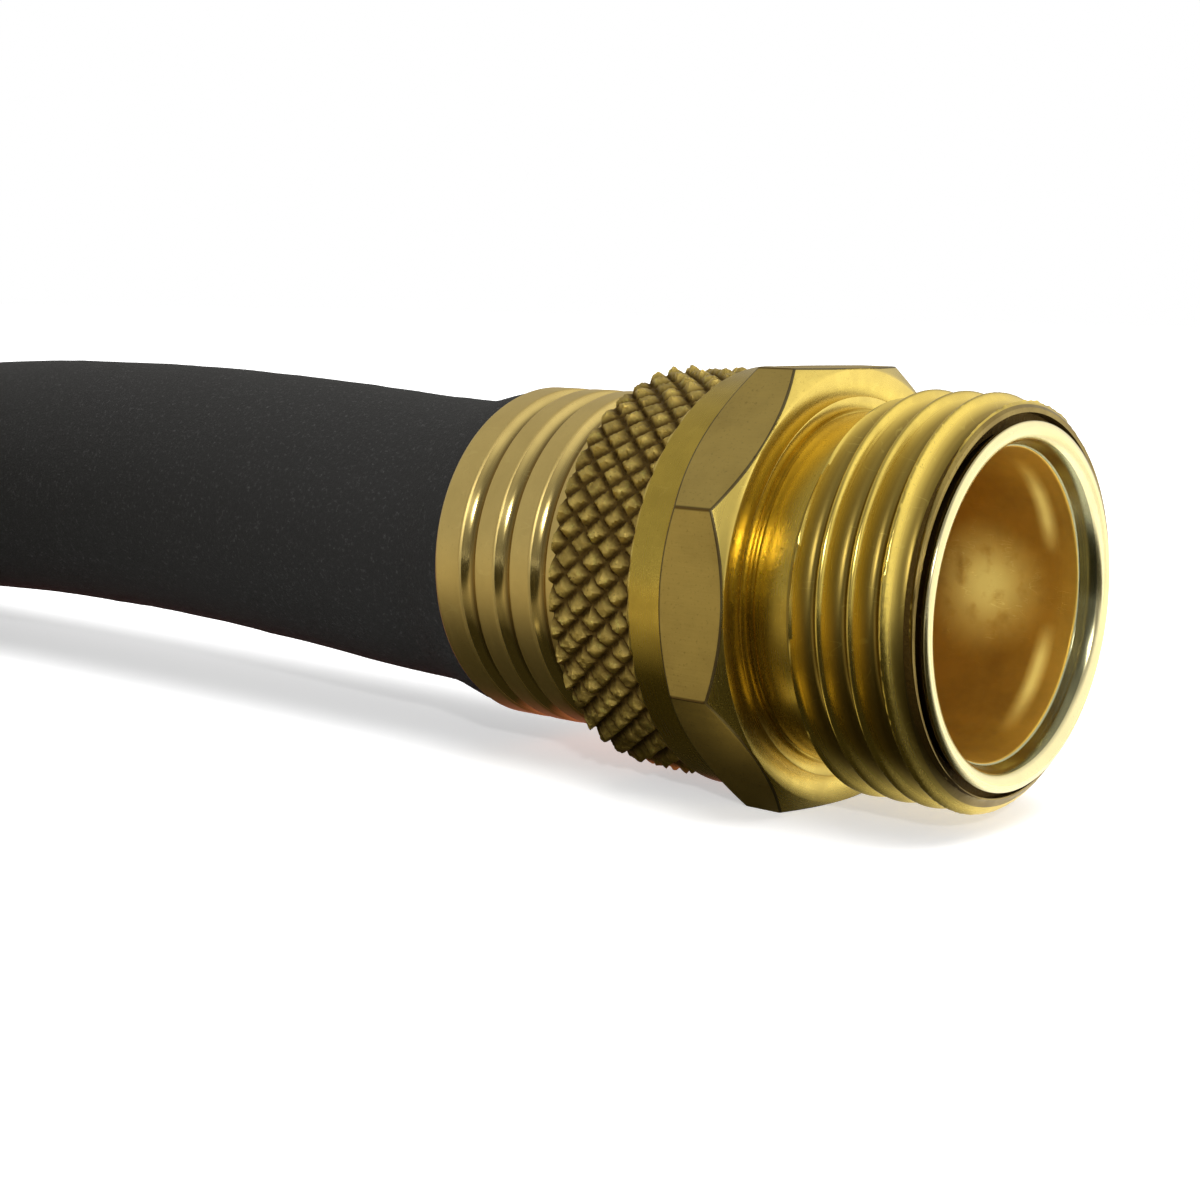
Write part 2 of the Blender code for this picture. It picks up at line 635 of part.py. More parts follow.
def build_tie(name, angle):
    spread = math.pi / COIL_POINTS_PER_TURN
    turns = [turn for edge in (-spread, 0.0, spread) for turn in turns_crossing(angle + edge)]
    inner = min(coil_radius(turn) for turn in turns) * math.cos(spread)
    low_outer = max(coil_radius(turn) for turn in turns if turn < COIL_HALF_TURNS)
    high_outer = max(coil_radius(turn) for turn in turns if turn > COIL_HALF_TURNS)
    low_z = coil_height(0.0)
    high_z = coil_height(COIL_TURNS)
    corners = [(inner, low_z), (low_outer, low_z), (high_outer, high_z), (inner, high_z)]
    inside = HOSE_RADIUS + TIE_CLEARANCE
    outside = inside + TIE_THICKNESS
    half = TIE_WIDTH / 2.0
    loops = [strap_loop(corners, offset, along)
             for offset, along in ((inside, -half), (outside, -half), (outside, half), (inside, half))]
    piece = place(name, skin(name, loops), (0.02, 0.02, 0.025), 0.0, 0.8)
    piece.location = COIL_CENTRE
    piece.rotation_euler = (0.0, 0.0, angle)


def main():
    clear_scene()
    build_outlet()
    hose_stop = build_hose()
    heading = heading_at(COIL_END_ANGLE)
    mouth = hose_stop + heading * (SEAT_GAP + INLET_LENGTH)
    build_inlet(mouth, math.atan2(heading.y, heading.x))
    for number, angle in enumerate(TIE_ANGLES, start=1):
        build_tie(f"coil_tie_{number}", angle)
    print(f"inlet mouth at {tuple(round(value, 6) for value in mouth)}")


main()
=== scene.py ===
"""A soaker hose with turned brass ends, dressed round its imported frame."""

import math

import bpy
import numpy as np
from bpy.props import FloatProperty, FloatVectorProperty, IntProperty, PointerProperty
from mathutils import Matrix, Vector


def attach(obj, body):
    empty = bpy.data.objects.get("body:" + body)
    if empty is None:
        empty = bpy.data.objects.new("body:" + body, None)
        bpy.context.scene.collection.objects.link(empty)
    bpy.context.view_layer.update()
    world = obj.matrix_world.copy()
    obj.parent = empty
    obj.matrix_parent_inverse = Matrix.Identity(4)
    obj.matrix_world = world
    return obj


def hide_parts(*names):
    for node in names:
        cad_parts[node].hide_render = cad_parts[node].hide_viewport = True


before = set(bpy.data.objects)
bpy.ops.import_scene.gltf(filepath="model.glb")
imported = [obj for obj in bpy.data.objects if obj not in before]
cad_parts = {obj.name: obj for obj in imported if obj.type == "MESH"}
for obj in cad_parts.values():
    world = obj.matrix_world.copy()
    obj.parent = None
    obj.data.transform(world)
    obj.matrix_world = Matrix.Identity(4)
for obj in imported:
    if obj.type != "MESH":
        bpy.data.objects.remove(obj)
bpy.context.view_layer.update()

bl_info = {
    "name": "Soaker Hose",
    "version": (1, 0, 0),
    "blender": (4, 5, 0),
    "location": "View3D > Sidebar > Soaker Hose",
    "description": "Makes the brass ends, the porous hose and its coil ties round the packed frame",
    "category": "Add Mesh",
}

MM = 0.001
TAU = 2.0 * math.pi

# ------------------------------------------------------------------ places along a fitting, from its mouth

OUTLET_MOUTH = Vector((19.75, 0.0, 14.4)) * MM
INLET_MOUTH = Vector((16.0, -362.95, 15.9)) * MM

LIP_STAND = 0.5 * MM
FACE = -12.65 * MM
THREAD_BACK = -9.7 * MM
OCTAGON_BACK = -17.7 * MM
KNURL_FRONT = -20.4 * MM
KNURL_BACK = -27.2 * MM
SOCKET_FLOOR = -22.0 * MM
OUTLET_FERRULE_FRONT = -22.3 * MM
OUTLET_INSERT_TAIL = -38.5 * MM
LIP_SHOULDER = -1.0 * MM
FUNNEL_BACK = -1.5 * MM
CHAMBER_FRONT = -2.8 * MM
CHAMBER_END = -13.5 * MM
CHAMBER_TAPER = 1.3 * MM

NUT_OCTAGON_BACK = -7.2 * MM
NUT_KNURL_FRONT = -9.4 * MM
NUT_BACK = -18.2 * MM
NUT_WALL_FRONT = -16.4 * MM
NUT_THREAD_BACK = -9.2 * MM
WASHER_FRONT = -9.5 * MM
RESTRICTOR_FRONT = -13.0 * MM
FLANGE_FRONT = -14.9 * MM
FLANGE_BACK = -16.1 * MM
INLET_FERRULE_FRONT = -18.5 * MM
INLET_INSERT_TAIL = -34.7 * MM

# ------------------------------------------------------------------ radii that the frame sets

STEM_HOLE = 9.1 * MM
SOCKET = 12.42 * MM
NECK = 11.6 * MM
FRONT_LAND = 12.4 * MM
LIP_OUTER = 11.66 * MM
LIP_RECESS = 12.1 * MM
FUNNEL = 10.2 * MM
INSERT_WALL = 0.6 * MM
INSERT_OUTER = 8.8 * MM
INSERT_BORE = INSERT_OUTER - INSERT_WALL
CHAMBER_OUTER = 10.3 * MM
CHAMBER = CHAMBER_OUTER - INSERT_WALL
FERRULE_BORE = 10.9 * MM
FERRULE_LENGTH = 17.2 * MM
FERRULE_GROOVES = (3.15, 6.38, 9.65)
CLAMPED_HOSE = 10.6 * MM
WASHER_SEAT = 13.0 * MM

# ------------------------------------------------------------------ the coil of unseen hose

COIL_TURNS = 8.5
COIL_POINTS_PER_TURN = 24
COIL_INNER_RADIUS = 89.2 * MM
COIL_TURN_GAP = 0.8 * MM
COIL_ENTRY_X = -172.0 * MM
COIL_ENTRY_ANGLE = math.pi / 2.0
COIL_LOW_Z = 12.45 * MM
CLIMB_HALF_SPAN = 0.25
REVERSE_HALF_SPAN = 0.1
RUN_ROUTE = [(-30.0, 14.6), (-45.0, 15.45), (-60.0, 16.0), (-80.0, 15.85), (-100.0, 14.75), (-120.0, 13.3)]
TAIL_ROUTE = [(50.0, 0.3, 0.06), (68.0, 1.2, 0.24), (86.0, 2.5, 0.5), (104.0, 3.8, 0.76), (122.0, 4.7, 0.94),
              (139.0, 5.0, 1.0), (152.0, 5.0, 1.0)]
STRAIGHT_LEAD = 3.0
OUTLET_LENGTH = 39.5 * MM
SEAT_GAP = 0.3 * MM
BORE_SHOWN = 60.0 * MM
SWELL_LENGTH = 6.5 * MM
SWELL_HEIGHT = 1.15 * MM
HOSE_COLUMNS = 56

TIE_ANGLES = [math.radians(40.0), math.radians(150.0), math.radians(235.0)]
TIE_THICKNESS = 1.2 * MM
TIE_WIDTH = 16.0 * MM
TIE_CLEARANCE = 0.5 * MM

# ------------------------------------------------------------------ finishes by number, as rows name them

# EDGE and NOSE carry painted shade.
TURNED, KNURLED, BAR, THREADED, EDGE, PLAIN, NOSE = range(7)
WALL, BORE, LIP, BAND = range(4)

# ------------------------------------------------------------------ fine detail

THREAD_ROWS_PER_PITCH = 24

# Shares of the knurl's depth below its barrel: where the painted shade between the points is darkest, and
# where it ends
KNURL_PIT, KNURL_POINT = 0.85, 0.35

# How close ring marks lie, and how deep they are
FINE_RINGS, SHEET_RINGS, SATIN_RINGS = 7000.0, 6000.0, 4000.0
POLISHED, DRAWN, BURNISHED, CUT = 0.0007 * MM, 0.001 * MM, 0.002 * MM, 0.004 * MM


# ------------------------------------------------------------------ settings

def length(name, description, value):
    """A length in millimetres as a property in metres."""
    return FloatProperty(name=name, description=description, default=value * MM, min=0.0,
                         unit="LENGTH", precision=5)


def colour(name, description, value):
    return FloatVectorProperty(name=name, description=description, default=value,
                               subtype="COLOR", min=0.0, max=1.0)


class HoseSizes(bpy.types.PropertyGroup):
    radius: length("Hose radius", "Outside radius of the free hose", 10.75)
    bore: length("Hose bore", "Radius of the water way in the free hose", 7.95)
    ring_spacing: length("Ring spacing", "Distance between rings of the hose's skin", 1.5)
    coil_ring_spacing: length("Coil ring spacing", "Distance between rings where the hose is coiled", 4.0)
    unevenness: length("Unevenness", "How far the extruded skin wanders in and out", 0.05)


class BrassSizes(bpy.types.PropertyGroup):
    thread_pitch: length("Thread pitch", "Distance between two crests of the hose thread", 25.4 / 11.5)
    male_radius: length("Male thread radius", "Radius over the crests of the outlet thread", 13.24)
    male_depth: length("Male thread depth", "Height of the outlet thread", 1.25)
    female_radius: length("Female thread radius", "Radius in the grooves of the nut's thread", 13.6)
    female_depth: length("Female thread depth", "Height of the nut's thread", 1.2)
    outlet_flats: length("Outlet across flats", "Width over the coupling's octagon", 28.8)
    outlet_barrel: length("Outlet barrel radius", "Radius of the coupling's collar and knurl", 14.28)
    nut_flats: length("Nut across flats", "Width over the nut's octagon", 31.8)
    nut_barrel: length("Nut barrel radius", "Radius of the nut's collar and knurl", 15.7)
    knurl_depth: length("Knurl depth", "Depth of the grooves between the knurl's points", 0.85)
    knurl_pitch: length("Knurl pitch", "Length of one diamond of the knurl along the axis", 2.25)
    outlet_diamonds: IntProperty(name="Outlet diamonds", description="Knurl points round the coupling",
                                 default=44, min=12)
    nut_diamonds: IntProperty(name="Nut diamonds", description="Knurl points round the nut",
                              default=48, min=12)
    ferrule_ridge: length("Ferrule ridge radius", "Outside radius of the ferrules' ridges", 12.12)
    ferrule_groove: length("Ferrule groove radius", "Radius at the bottom of the ferrules' grooves", 11.5)


class Finishes(bpy.types.PropertyGroup):
    turned_brass: colour("Turned brass", "Bright machined brass", (0.88, 0.67, 0.16))
    bar_brass: colour("Bar brass", "Drawn bar left as it came, on the octagon", (0.60, 0.44, 0.125))
    thread_brass: colour("Thread brass", "Cut brass of the threads", (0.85, 0.64, 0.14))
    plain_brass: colour("Plain brass", "Deeper gold of the neck and the collar", (0.64, 0.46, 0.08))
    # The nose colour is painted shade, for the dark gap behind the insert's lip.
    nose_shade_brass: colour("Nose brass", "Smeared front of the thread", (0.34, 0.25, 0.075))
    # The edge colour is painted shade along the octagon's rounded edges.
    edge_brass: colour("Edge brass", "Dull line along the octagon's edges", (0.20, 0.16, 0.07))
    knurl_brass: colour("Knurled brass", "Pressed brass of the grip", (0.78, 0.58, 0.16))
    drawn_brass: colour("Drawn brass", "Polished thin sheet of the ferrules", (0.84, 0.64, 0.23))
    lip_brass: colour("Lip brass", "Burnished lip of the outlet insert", (0.92, 0.82, 0.46))
    # This colour is a painted highlight: the bright patch and arcs on the chamber's wall.
    painted_highlight_brass: colour("Rubbed brass", "Bright patch on the wall of the water way", (1.0, 0.80, 0.22))
    # The funnel colour is a painted reflection: the dark olive band just inside the lip.
    funnel_reflection_brass: colour("Funnel brass", "Greenish wall just inside the lip", (0.40, 0.39, 0.22))
    bore_brass: colour("Bore brass", "Oxidised wall of the water way", (0.76, 0.47, 0.07))
    # Dark colour for real stains, and for painted shade in hollows, pits and along edges.
    residue_and_shade: colour("Residue", "Dark cutting residue in hollows", (0.09, 0.045, 0.012))
    rubber: colour("Rubber", "Recycled black rubber of the hose", (0.018, 0.0176, 0.0170))
    rubber_speck: colour("Rubber speck", "Paler crumbs in the rubber", (0.045, 0.044, 0.043))
    webbing: colour("Webbing", "Woven coil ties", (0.016, 0.017, 0.020))
    washer: colour("Washer", "Moulded rubber of the hose washer", (0.030, 0.028, 0.027))
    restrictor: colour("Restrictor", "Moulded plastic of the flow restrictor", (0.50, 0.07, 0.035))


class StudioSettings(bpy.types.PropertyGroup):
    key_power: FloatProperty(name="Key power", description="Power of the compact lamp above the camera",
                             default=2.5, min=0.0, unit="POWER")
    top_power: FloatProperty(name="Top power", description="Power of the broad overhead lamp",
                             default=24.0, min=0.0, unit="POWER")
    sky: FloatProperty(name="Room light", description="Strength of the even light from all sides",
                       default=0.55, min=0.0)
    floor: colour("Floor", "Pale seamless floor", (0.86, 0.86, 0.86))


class SoakerHoseSettings(bpy.types.PropertyGroup):
    hose: PointerProperty(type=HoseSizes, name="Hose", description="Sizes of the hose")
    brass: PointerProperty(type=BrassSizes, name="Brass",
                           description="Sizes of the turned and drawn fittings")
    finishes: PointerProperty(type=Finishes, name="Finishes", description="Colours of the finishes")
    studio: PointerProperty(type=StudioSettings, name="Studio", description="Light and floor")


# ------------------------------------------------------------------ shader nodes

def add_node(tree, kind, inputs=None, **settings):
    """A new node with its settings made and each input set to a value or linked to a socket."""
    made = tree.nodes.new(kind)
    for name, value in settings.items():
        setattr(made, name, value)
    for name, value in (inputs or {}).items():
        if isinstance(value, bpy.types.NodeSocket):
            tree.links.new(value, made.inputs[name])
        else:
            made.inputs[name].default_value = value
    return made


def maths(tree, operation, first, second=0.0, clamp=False):
    made = add_node(tree, "ShaderNodeMath", {0: first, 1: second}, operation=operation, use_clamp=clamp)
    return made.outputs[0]


def times(tree, first, second):
    return maths(tree, "MULTIPLY", first, second)


def plus(tree, first, second):
    return maths(tree, "ADD", first, second)


def minus(tree, first, second):
    return maths(tree, "SUBTRACT", first, second)


def larger(tree, first, second, clamp=False):
    return maths(tree, "MAXIMUM", first, second, clamp)


def vector_maths(tree, operation, first, second=None, result="Vector"):
    inputs = {0: first} if second is None else {0: first, 1: second}
    return add_node(tree, "ShaderNodeVectorMath", inputs, operation=operation).outputs[result]


def own_place(tree):
    """Place in the piece's own frame, which moves with it."""
    return add_node(tree, "ShaderNodeTexCoord").outputs["Object"]


def axes_of(tree, place):
    return add_node(tree, "ShaderNodeSeparateXYZ", {0: place}).outputs


def ramp(tree, value, low, high, to_low=0.0, to_high=1.0):
    """Runs from one value to another as the input runs from low to high, and stops there."""
    made = add_node(tree, "ShaderNodeMapRange",
                    {"Value": value, "From Min": low, "From Max": high, "To Min": to_low, "To Max": to_high})
    return made.outputs["Result"]


def mix_colour(tree, share, first, second):
    """The first colour where the share is 0 and the second where it is 1; each a socket or a plain colour."""
    made = add_node(tree, "ShaderNodeMix", {0: share}, data_type="RGBA")
    for socket, value in ((made.inputs[6], first), (made.inputs[7], second)):
        if isinstance(value, bpy.types.NodeSocket):
            tree.links.new(value, socket)
        else:
            socket.default_value = (*value, 1.0)
    return made.outputs[2]


def effect_group(name, inputs, outputs):
    """An empty node group with float inputs and outputs; returns its tree and both ends."""
    tree = bpy.data.node_groups.new(name, "ShaderNodeTree")
    for label, default in inputs:
        socket = tree.interface.new_socket(label, in_out="INPUT", socket_type="NodeSocketFloat")
        socket.default_value = default
    for label in outputs:
        tree.interface.new_socket(label, in_out="OUTPUT", socket_type="NodeSocketFloat")
    return tree, tree.nodes.new("NodeGroupInput").outputs, tree.nodes.new("NodeGroupOutput").inputs


def axis_coordinates(tree):
    """Distance along the fitting's axis, and out from it."""
    place = own_place(tree)
    apart = axes_of(tree, place)
    squares = plus(tree, times(tree, apart["Y"], apart["Y"]), times(tree, apart["Z"], apart["Z"]))
    return place, apart, maths(tree, "SQRT", squares)


def noise(tree, vector, scale, detail, roughness):
    made = add_node(tree, "ShaderNodeTexNoise",
                    {"Vector": vector, "Scale": scale, "Detail": detail, "Roughness": roughness})
    return made.outputs["Fac"]


def make_ring_marks():
    """Tool marks that run round the axis: fine ones, and a few deeper."""
    tree, given, found = effect_group("Ring Marks", [("Scale", 9000.0)], ["Height", "Deep"])
    _, apart, out = axis_coordinates(tree)
    drift = 0.012
    along = add_node(tree, "ShaderNodeCombineXYZ", {
        "X": plus(tree, apart["X"], times(tree, apart["Y"], drift)),
        "Y": plus(tree, out, times(tree, apart["Z"], drift)),
    }).outputs[0]
    fine = noise(tree, along, given["Scale"], detail=3.0, roughness=0.65)
    broad = noise(tree, along, times(tree, given["Scale"], 0.22), detail=2.0, roughness=0.5)
    tree.links.new(fine, found["Height"])
    tree.links.new(ramp(tree, broad, 0.60, 0.68), found["Deep"])
    return tree


def make_blemish():
    """Soft stains and a fine peppering of spots."""
    tree, given, found = effect_group("Blemish", [("Stain Scale", 260.0), ("Spot Scale", 5200.0)],
                                      ["Stain", "Spots"])
    place = own_place(tree)
    stains = noise(tree, place, given["Stain Scale"], detail=4.0, roughness=0.6)
    spots = noise(tree, place, given["Spot Scale"], detail=2.0, roughness=0.5)
    tree.links.new(ramp(tree, stains, 0.40, 0.70), found["Stain"])
    tree.links.new(ramp(tree, spots, 0.60, 0.74), found["Spots"])
    return tree


def make_scratches():
    """Hair-thin bright lines that wander over the surface and come and go."""
    tree, given, found = effect_group("Scratches", [("Scale", 420.0), ("Width", 0.007)], ["Lines"])
    place = own_place(tree)
    stretched = vector_maths(tree, "MULTIPLY", place, (0.55, 1.0, 1.9))
    wander = noise(tree, stretched, given["Scale"], detail=1.0, roughness=0.4)
    level = maths(tree, "ABSOLUTE", minus(tree, wander, 0.5))
    line = maths(tree, "LESS_THAN", level, given["Width"])
    patches = ramp(tree, noise(tree, place, 900.0, detail=1.0, roughness=0.5), 0.50, 0.62)
    tree.links.new(times(tree, line, patches), found["Lines"])
    return tree


def make_radius_shade():
    """Mask for painted shade: 1 where the surface lies near the axis and 0 out on the crests."""
    tree, given, found = effect_group("Radius Shade", [("Deep Radius", 0.012), ("Crest Radius", 0.0134)], ["Mask"])
    _, _, out = axis_coordinates(tree)
    tree.links.new(ramp(tree, out, given["Crest Radius"], given["Deep Radius"]), found["Mask"])
    return tree


def make_grain():
    """Rough grain of rubber, plastic or yarn: its height, and pale crumbs in it."""
    tree, given, found = effect_group("Grain", [("Scale", 3000.0), ("Crumb Scale", 1600.0)],
                                      ["Height", "Crumbs"])
    place = own_place(tree)
    coarse = noise(tree, place, given["Scale"], detail=5.0, roughness=0.72)
    crumbs = noise(tree, place, given["Crumb Scale"], detail=3.0, roughness=0.8)
    tree.links.new(coarse, found["Height"])
    tree.links.new(ramp(tree, crumbs, 0.56, 0.72), found["Crumbs"])
    return tree


EFFECTS = {
    "Ring Marks": make_ring_marks,
    "Blemish": make_blemish,
    "Scratches": make_scratches,
    "Radius Shade": make_radius_shade,
    "Grain": make_grain,
}


def effect(tree, name, **values):
    """Places a shared effect in a material; it is built the first time."""
    group = bpy.data.node_groups.get(name) or EFFECTS[name]()
    made = add_node(tree, "ShaderNodeGroup", node_tree=group)
    for label, value in values.items():
        made.inputs[label.replace("_", " ")].default_value = value
    return made.outputs


def new_material(name, **settings):
    """A material with a plain shader, ready for its colour, roughness and relief."""
    made = bpy.data.materials.new(name)
    made.use_nodes = True
    shader = made.node_tree.nodes["Principled BSDF"]
    for label, value in settings.items():
        shader.inputs[label.replace("_", " ")].default_value = value
    return made, made.node_tree, shader


def finish_surface(tree, shader, base, roughness, relief, depth):
    """Links colour, roughness and relief; depth is the height of the relief in metres."""
    tree.links.new(base, shader.inputs["Base Color"])
    tree.links.new(roughness, shader.inputs["Roughness"])
    bump = add_node(tree, "ShaderNodeBump", {"Height": relief, "Distance": depth, "Strength": 1.0})
    tree.links.new(bump.outputs["Normal"], shader.inputs["Normal"])


def brass(name, base, dark, roughness, ring_scale=9000.0, ring_depth=CUT, hollow=None, stain=0.25):
    """Machined or drawn brass: ring marks, stains, scratches, and darkened hollows, partly residue and partly
    painted shade.

    The hollow is the radius where the darkening is full, the radius where it ends, and how dark it gets.
    """
    made, tree, shader = new_material(name, Metallic=1.0)
    rings = effect(tree, "Ring Marks", Scale=ring_scale)
    blemish = effect(tree, "Blemish")
    scratches = effect(tree, "Scratches")
    stained = times(tree, blemish["Stain"], stain)
    spotted = times(tree, blemish["Spots"], stain)
    stain_and_shade = larger(tree, stained, spotted)
    # Hollows darken toward the dark colour: partly residue, partly painted shade.
    if hollow:
        deep, crest, strength = hollow
        mask = effect(tree, "Radius Shade", Deep_Radius=deep, Crest_Radius=crest)["Mask"]
        stain_and_shade = larger(tree, stain_and_shade, times(tree, mask, strength))
    tint = mix_colour(tree, stain_and_shade, base, dark)
    lighter = tuple(min(1.0, value * 1.25 + 0.05) for value in base)
    tint = mix_colour(tree, times(tree, scratches["Lines"], 0.15), tint, lighter)
    rough = plus(tree, ramp(tree, rings["Height"], 0.3, 0.7, roughness - 0.02, roughness + 0.03),
                 times(tree, stain_and_shade, 0.25))
    relief = minus(tree, rings["Height"], times(tree, rings["Deep"], 0.8))
    relief = minus(tree, relief, times(tree, scratches["Lines"], 0.2))
    finish_surface(tree, shader, tint, rough, relief, ring_depth)
    return made


def bore_material(name, base, dark, highlight_colour):
    """Dull brass of the wide chamber: brown, with a painted highlight patch on one side and painted highlight
    arcs by the lip.
    """
    patch_middle = (-8.2 * MM, CHAMBER, -0.3 * MM)
    patch_edge, patch_core = 5.2 * MM, 0.6 * MM
    arc_depth, arc_edge, arc_core = 3.3 * MM, 0.8 * MM, 0.1 * MM
    arc_low, arc_high = (2.2 * MM, 4.5 * MM), (9.0 * MM, 6.5 * MM)
    made, tree, shader = new_material(name)
    place = own_place(tree)
    spots = axes_of(tree, place)
    # A painted highlight patch on the far wall, broken up by noise.
    off = vector_maths(tree, "DISTANCE", place, patch_middle, "Value")
    patch_breakup = ramp(tree, noise(tree, place, 520.0, detail=3.0, roughness=0.6), 0.30, 0.50, 0.45, 1.0)
    patch = times(tree, maths(tree, "POWER", ramp(tree, off, patch_edge, patch_core), 1.4), patch_breakup)
    # Painted highlight arcs at the step behind the lip, only in two bands of height.
    ring = ramp(tree, maths(tree, "ABSOLUTE", plus(tree, spots["X"], arc_depth)), arc_edge, arc_core)
    height = maths(tree, "ABSOLUTE", spots["Z"])
    window = times(tree, ramp(tree, height, *arc_low), ramp(tree, height, *arc_high))
    light = larger(tree, patch, times(tree, times(tree, ring, window), 0.7))
    scratches = effect(tree, "Scratches", Scale=1600.0, Width=0.012)
    # Bright scratches only within the painted highlight patch.
    light = larger(tree, light, times(tree, scratches["Lines"], times(tree, patch, 1.5)), clamp=True)
    blemish = effect(tree, "Blemish", Stain_Scale=180.0)
    tint = mix_colour(tree, times(tree, blemish["Stain"], 0.35), base, dark)
    tint = mix_colour(tree, light, tint, highlight_colour)
    rings = effect(tree, "Ring Marks", Scale=2500.0)
    rough = ramp(tree, light, 0.0, 1.0, 0.40, 0.30)
    # The painted highlight loses its metal, so that it shows brighter.
    tree.links.new(ramp(tree, light, 0.0, 0.8, 0.85, 0.0), shader.inputs["Metallic"])
    relief = minus(tree, rings["Height"], times(tree, scratches["Lines"], 0.3))
    finish_surface(tree, shader, tint, rough, relief, 0.012 * MM)
    return made


def pressed_brass(name, base, dark, barrel, depth):
    """Brass of the knurl: rough where the tool tore it, with painted shade between the points, and bright
    wear on them.
    """
    made, tree, shader = new_material(name, Metallic=1.0)
    grain = effect(tree, "Grain", Scale=2600.0, Crumb_Scale=1500.0)
    blemish = effect(tree, "Blemish")
    # Painted shade in the pits between the points, with stain spots.
    pits = effect(tree, "Radius Shade", Deep_Radius=barrel - KNURL_PIT * depth,
                  Crest_Radius=barrel - KNURL_POINT * depth)["Mask"]
    stain_and_shade = larger(tree, times(tree, pits, 0.88), times(tree, blemish["Spots"], 0.5))
    lighter = tuple(min(1.0, value * 1.5) for value in base)
    tint = mix_colour(tree, grain["Crumbs"], base, lighter)
    tint = mix_colour(tree, stain_and_shade, tint, dark)
    rough = plus(tree, ramp(tree, grain["Height"], 0.3, 0.7, 0.30, 0.46), times(tree, pits, 0.2))
    finish_surface(tree, shader, tint, rough, grain["Height"], 0.13 * MM)
    return made


def bar_brass(name, base, dark, across_flats):
    """Drawn bar on the octagon: satin, with fine lines along the bar and painted shade along its corners."""
    made, tree, shader = new_material(name, Metallic=1.0)
    place = own_place(tree)
    drawn = vector_maths(tree, "MULTIPLY", place, (0.06, 1.0, 1.0))
    lines = noise(tree, drawn, 7000.0, detail=4.0, roughness=0.7)
    blemish = effect(tree, "Blemish")
    stain_and_shade = plus(tree, times(tree, blemish["Stain"], 0.18), times(tree, blemish["Spots"], 0.25))
    # A thin line of painted shade along each corner of the octagon.
    corner = across_flats / 2.0 / math.cos(TAU / 16.0)
    edge = effect(tree, "Radius Shade", Deep_Radius=corner - 0.03 * MM, Crest_Radius=corner - 0.07 * MM)["Mask"]
    stain_and_shade = larger(tree, stain_and_shade, times(tree, edge, 0.8))
    tint = mix_colour(tree, stain_and_shade, base, dark)
    rough = ramp(tree, lines, 0.3, 0.7, 0.42, 0.54)
    grain = effect(tree, "Grain", Scale=9000.0)
    relief = plus(tree, lines, times(tree, grain["Height"], 0.6))
    finish_surface(tree, shader, tint, rough, relief, 0.012 * MM)
    return made


def soft_material(name, base, speck, roughness, scale, depth, crumbs=1.0, gloss=0.5):
    """Rubber or plastic with a fine grain and paler crumbs in it."""
    made, tree, shader = new_material(name, Specular_IOR_Level=gloss)
    grain = effect(tree, "Grain", Scale=scale, Crumb_Scale=scale * 0.6)
    tint = mix_colour(tree, times(tree, grain["Crumbs"], crumbs), base, speck)
    rough = ramp(tree, grain["Height"], 0.3, 0.7, roughness - 0.08, roughness + 0.08)
    finish_surface(tree, shader, tint, rough, grain["Height"], depth)
    return made


def turned_finishes(prefix, settings, flats, barrel, thread_hollow):
    """The four finishes that both turned bodies have: TURNED, KNURLED, BAR and THREADED."""
    sizes, finishes = settings.brass, settings.finishes
    residue_and_shade = finishes.residue_and_shade
    return [
        brass(f"{prefix}_turned", finishes.turned_brass, residue_and_shade, roughness=0.24,
              ring_scale=FINE_RINGS, ring_depth=POLISHED),
        pressed_brass(f"{prefix}_knurled", finishes.knurl_brass, residue_and_shade, barrel, sizes.knurl_depth),
        bar_brass(f"{prefix}_bar", finishes.bar_brass, residue_and_shade, flats),
        brass(f"{prefix}_thread", finishes.thread_brass, residue_and_shade, roughness=0.22,
              ring_scale=FINE_RINGS, ring_depth=CUT, hollow=thread_hollow),
    ]


def webbing_material(name, base):
    """Plain-woven polyester strap: ribs over and under, with fuzzy yarn."""
    made, tree, shader = new_material(name, Sheen_Weight=0.15)
    place = own_place(tree)
    ribs = add_node(tree, "ShaderNodeTexWave", {"Vector": place, "Scale": 260.0, "Distortion": 0.4},
                    bands_direction="DIAGONAL").outputs["Fac"]
    cross = add_node(tree, "ShaderNodeTexWave", {"Vector": place, "Scale": 420.0, "Distortion": 0.6},
                     bands_direction="Y").outputs["Fac"]
    weave = times(tree, ribs, cross)
    grain = effect(tree, "Grain", Scale=6000.0)
    lit = tuple(value * 2.2 for value in base)
    tint = mix_colour(tree, weave, base, lit)
    rough = ramp(tree, grain["Height"], 0.3, 0.7, 0.70, 0.88)
    relief = plus(tree, weave, times(tree, grain["Height"], 0.3))
    finish_surface(tree, shader, tint, rough, relief, 0.12 * MM)
    return made


# ------------------------------------------------------------------ skins

def link(name, data):
    made = bpy.data.objects.new(name, data)
    bpy.context.scene.collection.objects.link(made)
    return made


